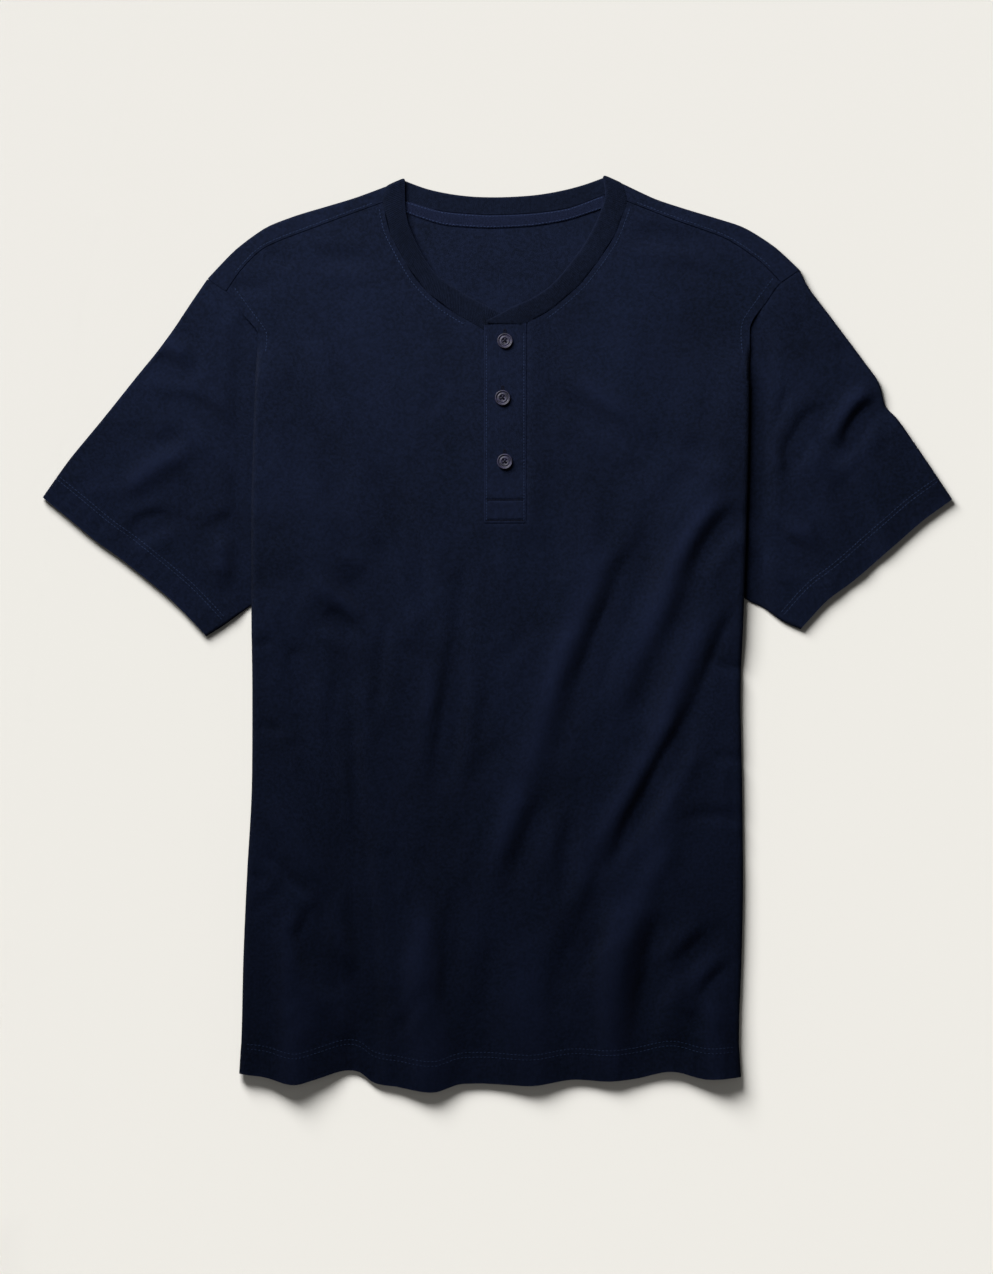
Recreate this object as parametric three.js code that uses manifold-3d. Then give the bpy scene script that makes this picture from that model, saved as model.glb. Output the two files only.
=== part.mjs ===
// Henley shirt with short sleeves, laid flat on its back on a surface, front upwards.
// Millimetres. +X is to the wearer's left, +Y to the collar, +Z up, and z = 0 is the surface.
// Every cloth piece is a wall made from a grid of points on its middle surface.

import * as THREE from "three";
import Module from "manifold-3d";

const wasm = await Module();
wasm.setup();

// Thickness of each cloth, and the clearance between two pieces
const JERSEY = 1.2;
const RIB = 2.0;
const TAPE = 1.0;
const BAND_STRIP = 1.8;
const GAP = 0.3;
const PITCH = JERSEY + GAP;
const FLOOR_LAYER = JERSEY / 2;

// How far the front stands off the back where it has no fold
const LOFT = 2.6;
const LEAST_LOFT = 0.7;

// The sides of the body are turned under. The stack is full below one height and gone above the other.
const STACK_FULL = 205;
const STACK_NONE = 245;
const STACK_RAMP = 26;
const STACK_PITCH = 2;

// How far the cover of the hidden sleeve reaches past it, for the body above it and for the sleeve itself
const SUPPORT = { margin: 24, ramp: 36 };
const PRESSED = { margin: 12, ramp: 14 };

// Clearance at the seams, and how far each fold rolls outwards
const ARMHOLE_GAP = 1.0;
const NECK_GAP = 0.5;
const ROLL_FRONT = 4.0;
const ROLL_BACK = 0.75;
const ROLL_SHOULDER = 1.2;
const ROLL_SLEEVE = 1.6;

// Above the stack, the front's edge rises to a quarter turn and the back's edge moves out to the armhole
const FRONT_RISE = { from: 222, over: 20 };
const BACK_SPREAD = { from: 226, over: 26 };

// The turned-under strips end this much above the edge of the hem over them
const STRIP_SHORT = 1.2;

// Middle of the shirt's outline, in the plan that the tables below are measured on
const PLAN_CENTRE = { x: -0.4135, y: 1.456 };

// Placket: a slit in the front, bridged by two strips
const PLACKET = { left: 22, right: -11.3, bottom: 91, top: 250.6 };
const TOP_SLANT = 3.6;
const BUTTON = { radius: 6.35, height: 2.4, dish: 0.9, rim: 1.3, hole: 0.8, holeOff: 1.45 };
const BUTTON_SIDES = 18;
const HOLE_SIDES = 6;

// Section of a button from the middle of its back to the middle of its dish: radius, height
const BUTTON_SECTION = [
  { r: 0, z: 0 }, { r: 3.94, z: 0 }, { r: 5.91, z: 0.67 }, { r: BUTTON.radius, z: 1.44 },
  { r: 5.77, z: BUTTON.height }, { r: BUTTON.radius - BUTTON.rim, z: 2.23 },
  { r: 3.68, z: BUTTON.height - BUTTON.dish }, { r: 0, z: BUTTON.height - BUTTON.dish },
];
const BUTTONS = [
  { name: "button_top", x: 5.5, y: 238 },
  { name: "button_middle", x: 3.7, y: 192 },
  { name: "button_bottom", x: 5.5, y: 140.4 },
];

// Grid sizes
const ROWS_LOW = 27;
const ROWS_HIGH = 5;
const SLIT_ROW = 22;
const SHOULDER_STEPS = 7;
const NECK_STEPS = 5;
const STRIP_STEPS = 3;
const FRONT_TURNS = 4;
const BACK_TURNS = 3;
const SHOULDER_TURNS = [1 / 3, 2 / 3, 1];
const SLEEVE_TURNS = [1 / 3, 2 / 3];
const SLEEVE_ROWS = 13;
const SLEEVE_COLS = 10;
const FOLD_STEPS = 8;
const CURVE_STEPS = 12;
const TAPE_STEPS = 10;
const PLACKET_STEPS = 10;

// How round the curves through the tables' points are: 0 is straight between them
const CURVE_SHARE = 0.7;

// The sides of the body as they show, from the hem up to the end of the shoulder
const EDGE = {
  right: [
    { y: -357, x: -209.8 }, { y: -328, x: -208.2 }, { y: -263, x: -206.6 }, { y: -198, x: -203.8 },
    { y: -117, x: -199.6 }, { y: -53, x: -199.3 }, { y: 22, x: -199.8 }, { y: 95, x: -199.8 },
    { y: 160, x: -198.2 }, { y: 205, x: -196.5 }, { y: 243, x: -194.4 }, { y: 260, x: -206.6 },
    { y: 278.6, x: -220.3 }, { y: 289.2, x: -235.7 },
  ],
  left: [
    { y: -358, x: 196.8 }, { y: -328, x: 195.4 }, { y: -263, x: 197.6 }, { y: -198, x: 198.8 },
    { y: -117, x: 198 }, { y: -53, x: 196.8 }, { y: 22, x: 199.2 }, { y: 95, x: 201.7 },
    { y: 160, x: 203.3 }, { y: 205, x: 203.8 }, { y: 243, x: 204 }, { y: 253, x: 205.4 },
    { y: 269.7, x: 217.1 }, { y: 285.9, x: 229.2 }, { y: 296.5, x: 244.6 },
  ],
};

// Height of the shoulder end of the front and of the back on each side
const FRONT_END = { right: 278.6, left: 285.9 };
const BACK_END = { right: 289.2, left: 296.5 };

// Inner edge of the strip that is turned under: the side seam, then the armhole
const TUCK_EDGE = {
  right: [{ y: -360, x: -143 }, { y: 90, x: -143 }, { y: 104, x: -156 }, { y: 124, x: -172 },
    { y: 160, x: -184 }, { y: 205, x: -188.5 }],
  left: [{ y: -360, x: 143 }, { y: 92, x: 143 }, { y: 106, x: 158 }, { y: 126, x: 175 },
    { y: 162, x: 189 }, { y: 205, x: 195.5 }],
};

// Lower edge of the front, along x
const HEM = [
  { x: -209.8, y: -355.6 }, { x: -189.5, y: -358 }, { x: -165, y: -363.7 }, { x: -150.7, y: -360.5 },
  { x: -121.5, y: -353.2 }, { x: -111.8, y: -355 }, { x: -102, y: -362.5 }, { x: -82.6, y: -366.1 },
  { x: -53.5, y: -370.2 }, { x: -29, y: -364 }, { x: -9.7, y: -363.7 }, { x: 24.3, y: -365.3 },
  { x: 63.2, y: -360.5 }, { x: 87.5, y: -361.7 }, { x: 111.8, y: -359.6 }, { x: 141, y: -354 },
  { x: 170, y: -359.6 }, { x: 196.8, y: -358 },
];

// The back's hem, which is shorter than the front's except near its side folds
const BACK_HEM = -350;
const BACK_HEM_HALF = 150;

// Seams and folds of the shoulders, each from the armhole to the neck
const SHOULDER_SEAM = {
  right: [[-220.3, 278.6], [-208.5, 295.5], [-188.7, 314.3], [-145.8, 331.3], [-93.2, 350.7]],
  left: [[229.2, 285.9], [212.2, 302.9], [183.9, 321.6], [140.9, 337], [104.5, 351.5]],
};
const SHOULDER_FOLD = {
  right: [[-235.7, 289.2], [-213, 312.7], [-188.7, 330.5], [-164.4, 340.2], [-140.1, 347.5],
    [-115.8, 354.8], [-91.5, 363.7]],
  left: [[244.6, 296.5], [224.4, 315.1], [200.1, 330.5], [175.8, 338.6], [151.5, 345.9],
    [127.2, 354], [102.9, 365.3]],
};

// Neck seam of the front on each side, from the shoulder to the placket, and of the back
const FRONT_NECK = {
  right: [[-93.2, 350.7], [-87.5, 325.6], [-67.2, 289.2], [-45.4, 267.7], [PLACKET.right, 247]],
  left: [[104.5, 351.5], [99.6, 337], [91.5, 318.3], [68, 285.9], [42.1, 263.3], [PLACKET.left, 251.8]],
};
const BACK_NECK = [[-88, 360.6], [-72.9, 351.5], [-45.4, 344.3], [-8.9, 341.3], [27.5, 342.6],
  [56.7, 346.7], [85.9, 357.4], [99.5, 362.3]];

// Neckband: free edge of each stretch from one placket end round to the other, and its seam edge
// where that leaves the neck seams, at the placket and where the band is folded over at the shoulder
const BAND = {
  right: {
    free: [[-3, 264], [-16.2, 270.5], [-27.5, 277], [-41.3, 285.9], [-54.3, 297.3], [-65.6, 316.7],
      [-73.7, 337], [-75.3, 352.4], [-75.3, 368.6]],
    end: [[-10, 248.6]],
    fold: [-90.6, 362],
  },
  back: {
    free: [[-75.3, 368.6], [-67.2, 366.1], [-55.1, 361.3], [-42.9, 358.8], [-18.6, 355.8], [5.7, 355.6],
      [30, 357.2], [54.3, 361.3], [66.4, 364.5], [78.6, 369], [85, 371]],
  },
  left: {
    free: [[85, 371], [86.7, 357.2], [81.8, 340.2], [71.3, 319.1], [56.7, 298.9], [42.1, 282.7],
      [27.5, 273], [13, 266.5], [4, 261.6], [-8.9, 254.8]],
    end: [[-8.6, 252.2], [13, 252]],
    fold: [101.6, 363.6],
  },
};
const TAPE_LOWER = [[-76, 343.2], [-45.4, 333.3], [-8.9, 330.5], [27.5, 332.1], [56.7, 337], [86, 346.6]];
const TAPE_UPPER = [[-76, 352.6], [-45.4, 343.8], [-8.9, 340.8], [27.5, 342.1], [56.7, 346.2], [86, 357]];

// Sleeves: upper fold, lower fold, cuff and armhole, each from the cuff or from the upper fold
const SLEEVES = {
  right: {
    upper: [[-369.4, 111.8], [-348.3, 141.8], [-321.6, 174.2], [-295.7, 206.6], [-269.7, 239],
      [-247.9, 271.4], [-235.7, 289.2]],
    lower: [[-236.5, -0.8], [-219.5, 10.1], [-206.6, 19.4], [-194, 29], [-168, 56], [-143, 90]],
    cuff: [[-369.4, 111.8], [-346.7, 93.2], [-327.2, 77], [-304.6, 60.8], [-264.9, 28.4], [-236.5, -0.8]],
    armhole: [[-235.7, 289.2], [-220.3, 278.6], [-206.6, 260], [-194.4, 243], [-188.5, 205],
      [-184, 160], [-172, 124], [-156, 104], [-143, 90]],
  },
  left: {
    upper: [[368.6, 110.2], [347.5, 141.8], [325, 174.2], [314.5, 186], [309, 205], [296.5, 222.8],
      [272.2, 255.2], [252.7, 281.1], [244.6, 297]],
    lower: [[245.4, 4.9], [229.2, 12.2], [214.7, 22.7], [200.1, 30], [170, 58], [143, 92]],
    cuff: [[368.6, 110.2], [345.1, 93.2], [326.4, 77], [289.2, 44.6], [267.3, 28.4], [245.4, 4.9]],
    armhole: [[244.6, 297], [229.2, 285.9], [217.1, 269.7], [204.9, 252.7], [195.5, 205],
      [189, 162], [175, 126], [158, 106], [143, 92]],
  },
};

// Largest folds: start, middle and end on the plan, half width, and height of a ridge or depth of a trough
const FOLDS = [
  { from: [165, -53], via: [126, -127], to: [87, -187], half: 9, high: -5 },
  { from: [178, 28], via: [131, -61], to: [87, -164], half: 12, high: 4 },
  { from: [92, 36], via: [57, -75], to: [2, -241], half: 13, high: -4 },
  { from: [58, 2], via: [18, -101], to: [-16, -236], half: 13, high: 4 },
  { from: [-31, 36], via: [-42, -84], to: [-49, -133], half: 10, high: -2.5 },
  { from: [-174, -7], via: [-144, -107], to: [-127, -198], half: 10, high: -3.5 },
  { from: [-117, -133], via: [-103, -279], to: [-105, -365], half: 10, high: -4 },
  { from: [-140, -216], via: [-163, -250], to: [-120, -299], half: 11, high: -3.5 },
  { from: [-34, -207], via: [-45, -284], to: [-42, -327], half: 11, high: -3 },
  { from: [106, -198], via: [89, -241], to: [94, -365], half: 15, high: 6 },
  { from: [141, -185], via: [121, -241], to: [112, -284], half: 10, high: -4 },
  { from: [175, -241], via: [141, -271], to: [121, -293], half: 9, high: -3 },
  { from: [-92, 126], via: [-68, 83], to: [-61, 25], half: 10, high: -3 },
  { from: [-135, 169], via: [-128, 140], to: [-122, 111], half: 10, high: -2.5 },
  { from: [192, 91], via: [147, 69], to: [83, 40], half: 9, high: -5 },
  { from: [190, 122], via: [156, 93], to: [112, 40], half: 12, high: 4 },
  { from: [-143, 19], via: [-127, 9], to: [-111, 0], half: 9, high: -4 },
  { from: [106, 326], via: [132, 322], to: [169, 316], half: 8, high: -2.5 },
  { from: [-152, 307], via: [-127, 305], to: [-103, 303], half: 8, high: -2 },
  { from: [-55, -372], via: [-56, -335], to: [-60, -290], half: 19, high: 7 },
  { from: [-165, -368], via: [-163, -345], to: [-160, -318], half: 14, high: 7 },
  { from: [26, -372], via: [26, -340], to: [25, -300], half: 20, high: 5 },
  { from: [181, -365], via: [178, -340], to: [172, -316], half: 12, high: 6 },
  { from: [-280, 224], via: [-267, 217], to: [-250, 205], half: 9, high: -3 },
  { from: [-262, 191], via: [-226, 175], to: [-215, 143], half: 9, high: -4 },
  { from: [-254, 165], via: [-266, 156], to: [-275, 147], half: 9, high: -2.5 },
  { from: [-250, 156], via: [-288, 130], to: [-305, 115], half: 11, high: 3.5 },
  { from: [-262, 94], via: [-284, 89], to: [-299, 79], half: 9, high: -3 },
  { from: [-206, 89], via: [-218, 89], to: [-233, 88], half: 8, high: -3 },
  { from: [312, 181], via: [286, 178], to: [284, 141], half: 9, high: -5 },
  { from: [271, 181], via: [245, 175], to: [237, 128], half: 10, high: -4 },
  { from: [257, 162], via: [270, 150], to: [284, 137], half: 7, high: -2.5 },
  { from: [209, 92], via: [236, 66], to: [256, 53], half: 10, high: -4.5 },
  { from: [273, 128], via: [288, 105], to: [305, 63], half: 10, high: -3 },
];

// Height of a fold at its two ends, as a share of its full height
const FOLD_END = 0.35;

const COLORS = { cloth: 0x12182a, rib: 0x141b2f, tape: 0x171e33, button: 0x3c3f52 };

// Small helpers

const mix = (a, b, t) => a + (b - a) * t;

function smooth(t) {
  const s = Math.min(1, Math.max(0, t));
  return s * s * (3 - 2 * s);
}

// Smooth value of one column of a table against another, held level past its ends
function read(table, key, value, at) {
  const rows = table[0][key] <= table[table.length - 1][key] ? table : [...table].reverse();
  if (at <= rows[0][key]) return rows[0][value];
  const last = rows.length - 1;
  if (at >= rows[last][key]) return rows[last][value];
  const i = rows.findIndex((row, k) => k < last && at < rows[k + 1][key]);
  const step = (k) => (rows[k + 1][value] - rows[k][value]) / (rows[k + 1][key] - rows[k][key]);
  // Slope at a row, held down so that the curve keeps between its rows
  const slope = (k) => {
    const [before, after] = [step(Math.max(0, k - 1)), step(Math.min(last - 1, k))];
    if (before * after <= 0) return 0;
    const most = 3 * Math.min(Math.abs(before), Math.abs(after));
    return Math.sign(after) * Math.min(Math.abs(before + after) / 2, most);
  };
  const width = rows[i + 1][key] - rows[i][key];
  const t = (at - rows[i][key]) / width;
  const a = mix(rows[i][value], rows[i + 1][value], t);
  const bend = t * (1 - t) * width * ((slope(i) - step(i)) * (1 - t) - (slope(i + 1) - step(i)) * t);
  return a + bend;
}

// Points at equal steps along a smooth curve through the given ones
function spaced(points, count) {
  const at = (k) => points[Math.min(points.length - 1, Math.max(0, k))];
  const dense = [];
  for (let k = 0; k < points.length - 1; k++) {
    for (let n = 0; n < CURVE_STEPS; n++) {
      const t = n / CURVE_STEPS;
      dense.push([0, 1].map((d) => {
        const [p, q, r, s] = [at(k - 1)[d], at(k)[d], at(k + 1)[d], at(k + 2)[d]];
        const curve = q + 0.5 * t * (r - p + t * (2 * p - 5 * q + 4 * r - s + t * (3 * (q - r) + s - p)));
        return mix(mix(q, r, t), curve, CURVE_SHARE);
      }));
    }
  }
  dense.push(points[points.length - 1]);
  const along = [0];
  for (let k = 1; k < dense.length; k++) {
    along.push(along[k - 1] + Math.hypot(dense[k][0] - dense[k - 1][0], dense[k][1] - dense[k - 1][1]));
  }
  const total = along[along.length - 1];
  return Array.from({ length: count + 1 }, (_, n) => {
    const want = (total * n) / count;
    let k = along.findIndex((length) => length >= want - 1e-9);
    k = Math.max(1, k);
    const t = (want - along[k - 1]) / (along[k] - along[k - 1]);
    return [mix(dense[k - 1][0], dense[k][0], t), mix(dense[k - 1][1], dense[k][1], t)];
  });
}

// Signed distance to a closed outline on the plan, negative inside
function outside(outline, x, y) {
  let best = Infinity;
  let inside = false;
  for (let k = 0; k < outline.length; k++) {
    const [ax, ay] = outline[k];
    const [bx, by] = outline[(k + 1) % outline.length];
    const [dx, dy] = [bx - ax, by - ay];
    const t = Math.min(1, Math.max(0, ((x - ax) * dx + (y - ay) * dy) / (dx * dx + dy * dy)));
    best = Math.min(best, Math.hypot(x - ax - t * dx, y - ay - t * dy));
    if (ay > y !== by > y && x < ax + ((y - ay) / dy) * dx) inside = !inside;
  }
  return inside ? -best : best;
}

// Heights

const SIGN = { right: -1, left: 1 };
const edgeAt = (side, y, end) => read(EDGE[side], "y", "x", Math.min(y, end));

// The strip turned under and the part of the sleeve hidden below the body, as outlines on the plan.
// The hidden part lies above one height at the body's side and above another at the armhole seam.
const HIDDEN = { side: 25, armhole: 100, lowerPoints: 3 };
const tuckOutline = {};
const hiddenSleeve = {};
for (const side of ["right", "left"]) {
  const edge = EDGE[side].filter((row) => row.y <= STACK_NONE).map((row) => [row.x, row.y]);
  const inner = TUCK_EDGE[side].map((row) => [row.x, row.y]).reverse();
  tuckOutline[side] = [...edge, ...inner];
  const over = edge.filter(([, y]) => y > HIDDEN.side);
  const under = SLEEVES[side].lower.slice(HIDDEN.lowerPoints);
  const armhole = inner.filter(([, y]) => y >= HIDDEN.armhole);
  hiddenSleeve[side] = [...over.reverse(), ...under, ...armhole.reverse()];
}

const sideOf = (x) => (x < 0 ? "right" : "left");
const cover = (outline, x, y, margin, ramp) => 1 - smooth((outside(outline, x, y) - margin) / ramp);
const sleeveCover = (x, y) => cover(hiddenSleeve[sideOf(x)], x, y, SUPPORT.margin, SUPPORT.ramp);
const tuckCover = (x, y) => cover(tuckOutline[sideOf(x)], x, y, 0, STACK_RAMP);
const stackShare = (y) => smooth((STACK_NONE - y) / (STACK_NONE - STACK_FULL));

// Folds as runs of points, and the height of the top layer above the one below it
const foldLines = FOLDS.map((fold) => ({
  ...fold,
  line: Array.from({ length: FOLD_STEPS + 1 }, (_, k) => {
    const t = k / FOLD_STEPS;
    return [0, 1].map((d) => mix(mix(fold.from[d], fold.via[d], t), mix(fold.via[d], fold.to[d], t), t));
  }),
}));

function foldHeight(fold, x, y) {
  let best = Infinity;
  let place = 0;
  for (let k = 0; k < FOLD_STEPS; k++) {
    const [ax, ay] = fold.line[k];
    const [bx, by] = fold.line[k + 1];
    const [dx, dy] = [bx - ax, by - ay];
    const t = Math.min(1, Math.max(0, ((x - ax) * dx + (y - ay) * dy) / (dx * dx + dy * dy)));
    const away = Math.hypot(x - ax - t * dx, y - ay - t * dy);
    if (away < best) {
      best = away;
      place = (k + t) / FOLD_STEPS;
    }
  }
  const ends = mix(FOLD_END, 1, smooth(Math.min(place, 1 - place) * 4));
  return fold.high * ends * Math.exp(-((best / fold.half) ** 2));
}

function loft(x, y) {
  let sum = LOFT;
  for (const fold of foldLines) sum += foldHeight(fold, x, y);
  // Held above the least loft with a soft bend
  const over = sum - LEAST_LOFT;
  return LEAST_LOFT + (over + Math.sqrt(over * over + 1)) / 2;
}

const underHeight = (x, y) => FLOOR_LAYER + 2 * PITCH * sleeveCover(x, y);
const stackHeight = (x, y) => 2 * (PITCH * sleeveCover(x, y) + STACK_PITCH * tuckCover(x, y)) * stackShare(y);
const backHeight = (x, y) => FLOOR_LAYER + stackHeight(x, y);
const frontHeight = (x, y) => backHeight(x, y) + PITCH + loft(x, y);

function sleeveHeight(x, y) {
  const pressed = cover(hiddenSleeve[sideOf(x)], x, y, PRESSED.margin, PRESSED.ramp);
  return FLOOR_LAYER + PITCH + loft(x, y) * (1 - pressed);
}

// Walls

// Closed wall round a grid of middle points. Null marks a missing point, and ring joins the last
// column to the first.
function wall(grid, thickness, ring = false) {
  const rows = grid.length;
  const cols = grid[0].length;
  const at = (i, j) => (i < 0 || i >= rows ? null : ring ? grid[i][(j + cols) % cols] : grid[i][j] ?? null);
  const cell = (i, j) => {
    const corners = [at(i, j), at(i, j + 1), at(i + 1, j + 1), at(i + 1, j)];
    return corners.every(Boolean) ? corners : null;
  };
  const [a, b, c] = [new THREE.Vector3(), new THREE.Vector3(), new THREE.Vector3()];
  const normals = grid.map((row, i) => row.map((point, j) => {
    if (!point) return null;
    const sum = new THREE.Vector3();
    for (const [di, dj] of [[-1, -1], [-1, 0], [0, -1], [0, 0]]) {
      const corners = cell(i + di, j + dj);
      if (!corners) continue;
      a.fromArray(corners[2]).sub(b.fromArray(corners[0]));
      c.fromArray(corners[3]).sub(b.fromArray(corners[1]));
      sum.add(a.cross(c).normalize());
    }
    return sum.normalize();
  }));
  const positions = [];
  const place = (i, j, side) => {
    const col = ring ? (j + cols) % cols : j;
    const [p, n] = [grid[i][col], normals[i][col]];
    const d = (side * thickness) / 2;
    return [p[0] + n.x * d, p[1] + n.y * d, p[2] + n.z * d];
  };
  const quad = (p, q, r, s) => positions.push(...p, ...q, ...r, ...p, ...r, ...s);
  const edge = (i0, j0, i1, j1) => {
    quad(place(i1, j1, 1), place(i0, j0, 1), place(i0, j0, -1), place(i1, j1, -1));
  };
  for (let i = 0; i < rows - 1; i++) {
    for (let j = 0; j < (ring ? cols : cols - 1); j++) {
      if (!cell(i, j)) continue;
      const ring4 = [[i, j], [i, j + 1], [i + 1, j + 1], [i + 1, j]];
      quad(...ring4.map(([r, k]) => place(r, k, 1)));
      quad(...[...ring4].reverse().map(([r, k]) => place(r, k, -1)));
      if (!cell(i - 1, j)) edge(i, j, i, j + 1);
      if (!cell(i, j + 1)) edge(i, j + 1, i + 1, j + 1);
      if (!cell(i + 1, j)) edge(i + 1, j + 1, i + 1, j);
      if (!cell(i, j - 1)) edge(i + 1, j, i, j);
    }
  }
  let volume = 0;
  for (let k = 0; k < positions.length; k += 9) {
    a.fromArray(positions, k);
    volume += a.dot(b.fromArray(positions, k + 3).cross(c.fromArray(positions, k + 6)));
  }
  if (volume < 0) {
    for (let k = 0; k < positions.length; k += 9) {
      const second = positions.slice(k + 3, k + 6);
      for (let d = 0; d < 3; d++) {
        positions[k + 3 + d] = positions[k + 6 + d];
        positions[k + 6 + d] = second[d];
      }
    }
  }
  const geometry = new THREE.BufferGeometry();
  geometry.setAttribute("position", new THREE.Float32BufferAttribute(positions, 3));
  return geometry;
}

const group = new THREE.Group();
group.position.set(-PLAN_CENTRE.x, -PLAN_CENTRE.y, 0);

function add(name, geometry, color, roughness = 0.9) {
  const material = new THREE.MeshStandardMaterial({ color, roughness, metalness: 0 });
  const mesh = new THREE.Mesh(geometry, material);
  mesh.name = name;
  group.add(mesh);
  return mesh;
}

// Body panels

// Half turn or quarter turn at the side of a panel, from its flat part outwards; share 1 is a half turn
function turn(outer, sign, semi, high, low, share, steps) {
  return Array.from({ length: steps }, (_, k) => {
    const s = (k + 1) / steps;
    const x = outer - sign * semi * (1 - Math.sin(Math.PI * share * s));
    return [x, low + ((high - low) * (1 + Math.cos(Math.PI * s))) / 2];
  });
}

// Height along the plan of row i for a column that runs from its hem to its top
function rowY(i, hem, top) {
  if (i <= ROWS_LOW) return mix(hem, STACK_FULL, i / ROWS_LOW);
  return mix(STACK_FULL, top, (i - ROWS_LOW) / ROWS_HIGH);
}

// Columns of a panel: the share of the half width that each keeps, and the height where it ends
function columnsOf(side, points, end, margin) {
  return points.map(([x, y]) => {
    const share = Math.min(1, x / (edgeAt(side, y, end) - SIGN[side] * margin));
    return { side, share, low: share, top: y };
  });
}

// The strips of both panels start where the front's half turn ends
const STRIP_START = JERSEY / 2 + ROLL_FRONT;

// A panel with its turned-under strips, as a grid; extra gives more rows above the top
function panel({ columns, hem, end, semi, inset, height, under, turnSteps, extra = [] }) {
  const grid = [];
  for (let i = 0; i <= ROWS_LOW + ROWS_HIGH; i++) {
    const flank = {};
    for (const side of ["right", "left"]) {
      const sign = SIGN[side];
      const foot = hem(EDGE[side][0].x);
      const y = rowY(i, foot, end[side]);
      const full = i <= ROWS_LOW;
      const outer = edgeAt(side, y, end[side]) - sign * inset(y, full);
      const high = height(outer - sign * semi, y);
      const low = under(outer, y, high, full);
      const roll = turn(outer, sign, semi, high, low, full ? 1 : 0.5, turnSteps).map(([x, z]) => [x, y, z]);
      const tuck = full ? read(TUCK_EDGE[side], "y", "x", y) : 0;
      const start = edgeAt(side, y, end[side]) - sign * STRIP_START;
      const strip = Array.from({ length: STRIP_STEPS }, (_, k) => {
        const x = mix(start, tuck, (k + 1) / STRIP_STEPS);
        const along = rowY(i, Math.max(hem(x), foot) + STRIP_SHORT, end[side]);
        return full ? [x, along, under(x, along, high, full)] : null;
      });
      flank[side] = { reach: outer - sign * semi, points: [...roll, ...strip] };
    }
    const top = columns.map(({ side, share: own, low, top: ceiling }) => {
      const share = mix(low, own, Math.max(0, i - ROWS_LOW) / ROWS_HIGH);
      const foot = hem(share * flank[side].reach);
      const y = rowY(i, foot, ceiling);
      const edge = edgeAt(side, y, end[side]) - SIGN[side] * (inset(y, y <= STACK_FULL) + semi);
      return [share * edge, y, height(share * edge, y)];
    });
    grid.push([...flank.right.points.reverse(), ...top, ...flank.left.points]);
  }
  return [...grid, ...extra];
}

const frontHem = (x) => read(HEM, "x", "y", x);

function frontColumns() {
  const seam = (side) => spaced(SHOULDER_SEAM[side], SHOULDER_STEPS);
  const neck = (side) => spaced(FRONT_NECK[side], NECK_STEPS).slice(1);
  const columns = [
    ...columnsOf("right", [...seam("right"), ...neck("right")], FRONT_END.right, ROLL_FRONT),
    ...columnsOf("left", [...seam("left"), ...neck("left")], FRONT_END.left, ROLL_FRONT).reverse(),
  ];
  for (const column of [columns[0], columns[columns.length - 1]]) column.share = column.low = 1;
  return columns;
}

function frontGrid() {
  return panel({
    columns: frontColumns(),
    hem: frontHem,
    end: FRONT_END,
    semi: ROLL_FRONT,
    inset: (y, full) => (full ? JERSEY / 2 : 0),
    height: frontHeight,
    under: (x, y, high, full) => {
      if (full) return underHeight(x, y);
      return mix(FLOOR_LAYER + 2 * PITCH, high, smooth((y - FRONT_RISE.from) / FRONT_RISE.over));
    },
    turnSteps: FRONT_TURNS,
  });
}

// The slit of the placket: the columns beside its middle, and one between them that stops at its foot
function slitFront(grid) {
  const middle = grid[0].findIndex((_, j) => grid[SLIT_ROW][j][0] < 0 && grid[SLIT_ROW][j + 1][0] > 0);
  const cut = grid.map((row, i) => {
    const [x, y] = [0, 1].map((d) => mix(row[middle][d], row[middle + 1][d], 0.5));
    const centre = i <= SLIT_ROW ? [x, y, frontHeight(x, y)] : null;
    return [...row.slice(0, middle + 1), centre, ...row.slice(middle + 1)];
  });
  return { cut, sides: grid.slice(SLIT_ROW).map((row) => [row[middle], row[middle + 1]]) };
}

// Turn of the back over the shoulder and down to the shoulder seam
function shoulderFlap(side, count) {
  const fold = spaced(SHOULDER_FOLD[side], count);
  const seam = spaced(SHOULDER_SEAM[side], count);
  const reach = ROLL_SHOULDER + JERSEY / 2;
  return fold.map((outer, k) => {
    const [dx, dy] = [outer[0] - seam[k][0], outer[1] - seam[k][1]];
    const length = Math.hypot(dx, dy);
    const [ux, uy] = [dx / length, dy / length];
    const base = [outer[0] - ux * reach, outer[1] - uy * reach];
    const high = frontHeight(...base);
    const points = SHOULDER_TURNS.map((s) => {
      const out = ROLL_SHOULDER * Math.sin(Math.PI * s);
      const z = mix(FLOOR_LAYER, high, (1 - Math.cos(Math.PI * s)) / 2);
      return [base[0] + ux * out, base[1] + uy * out, z];
    });
    const stop = [seam[k][0] + ux * 2 * GAP, seam[k][1] + uy * 2 * GAP];
    return { base, rise: [...points, [...stop, frontHeight(...stop)]] };
  });
}

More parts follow.
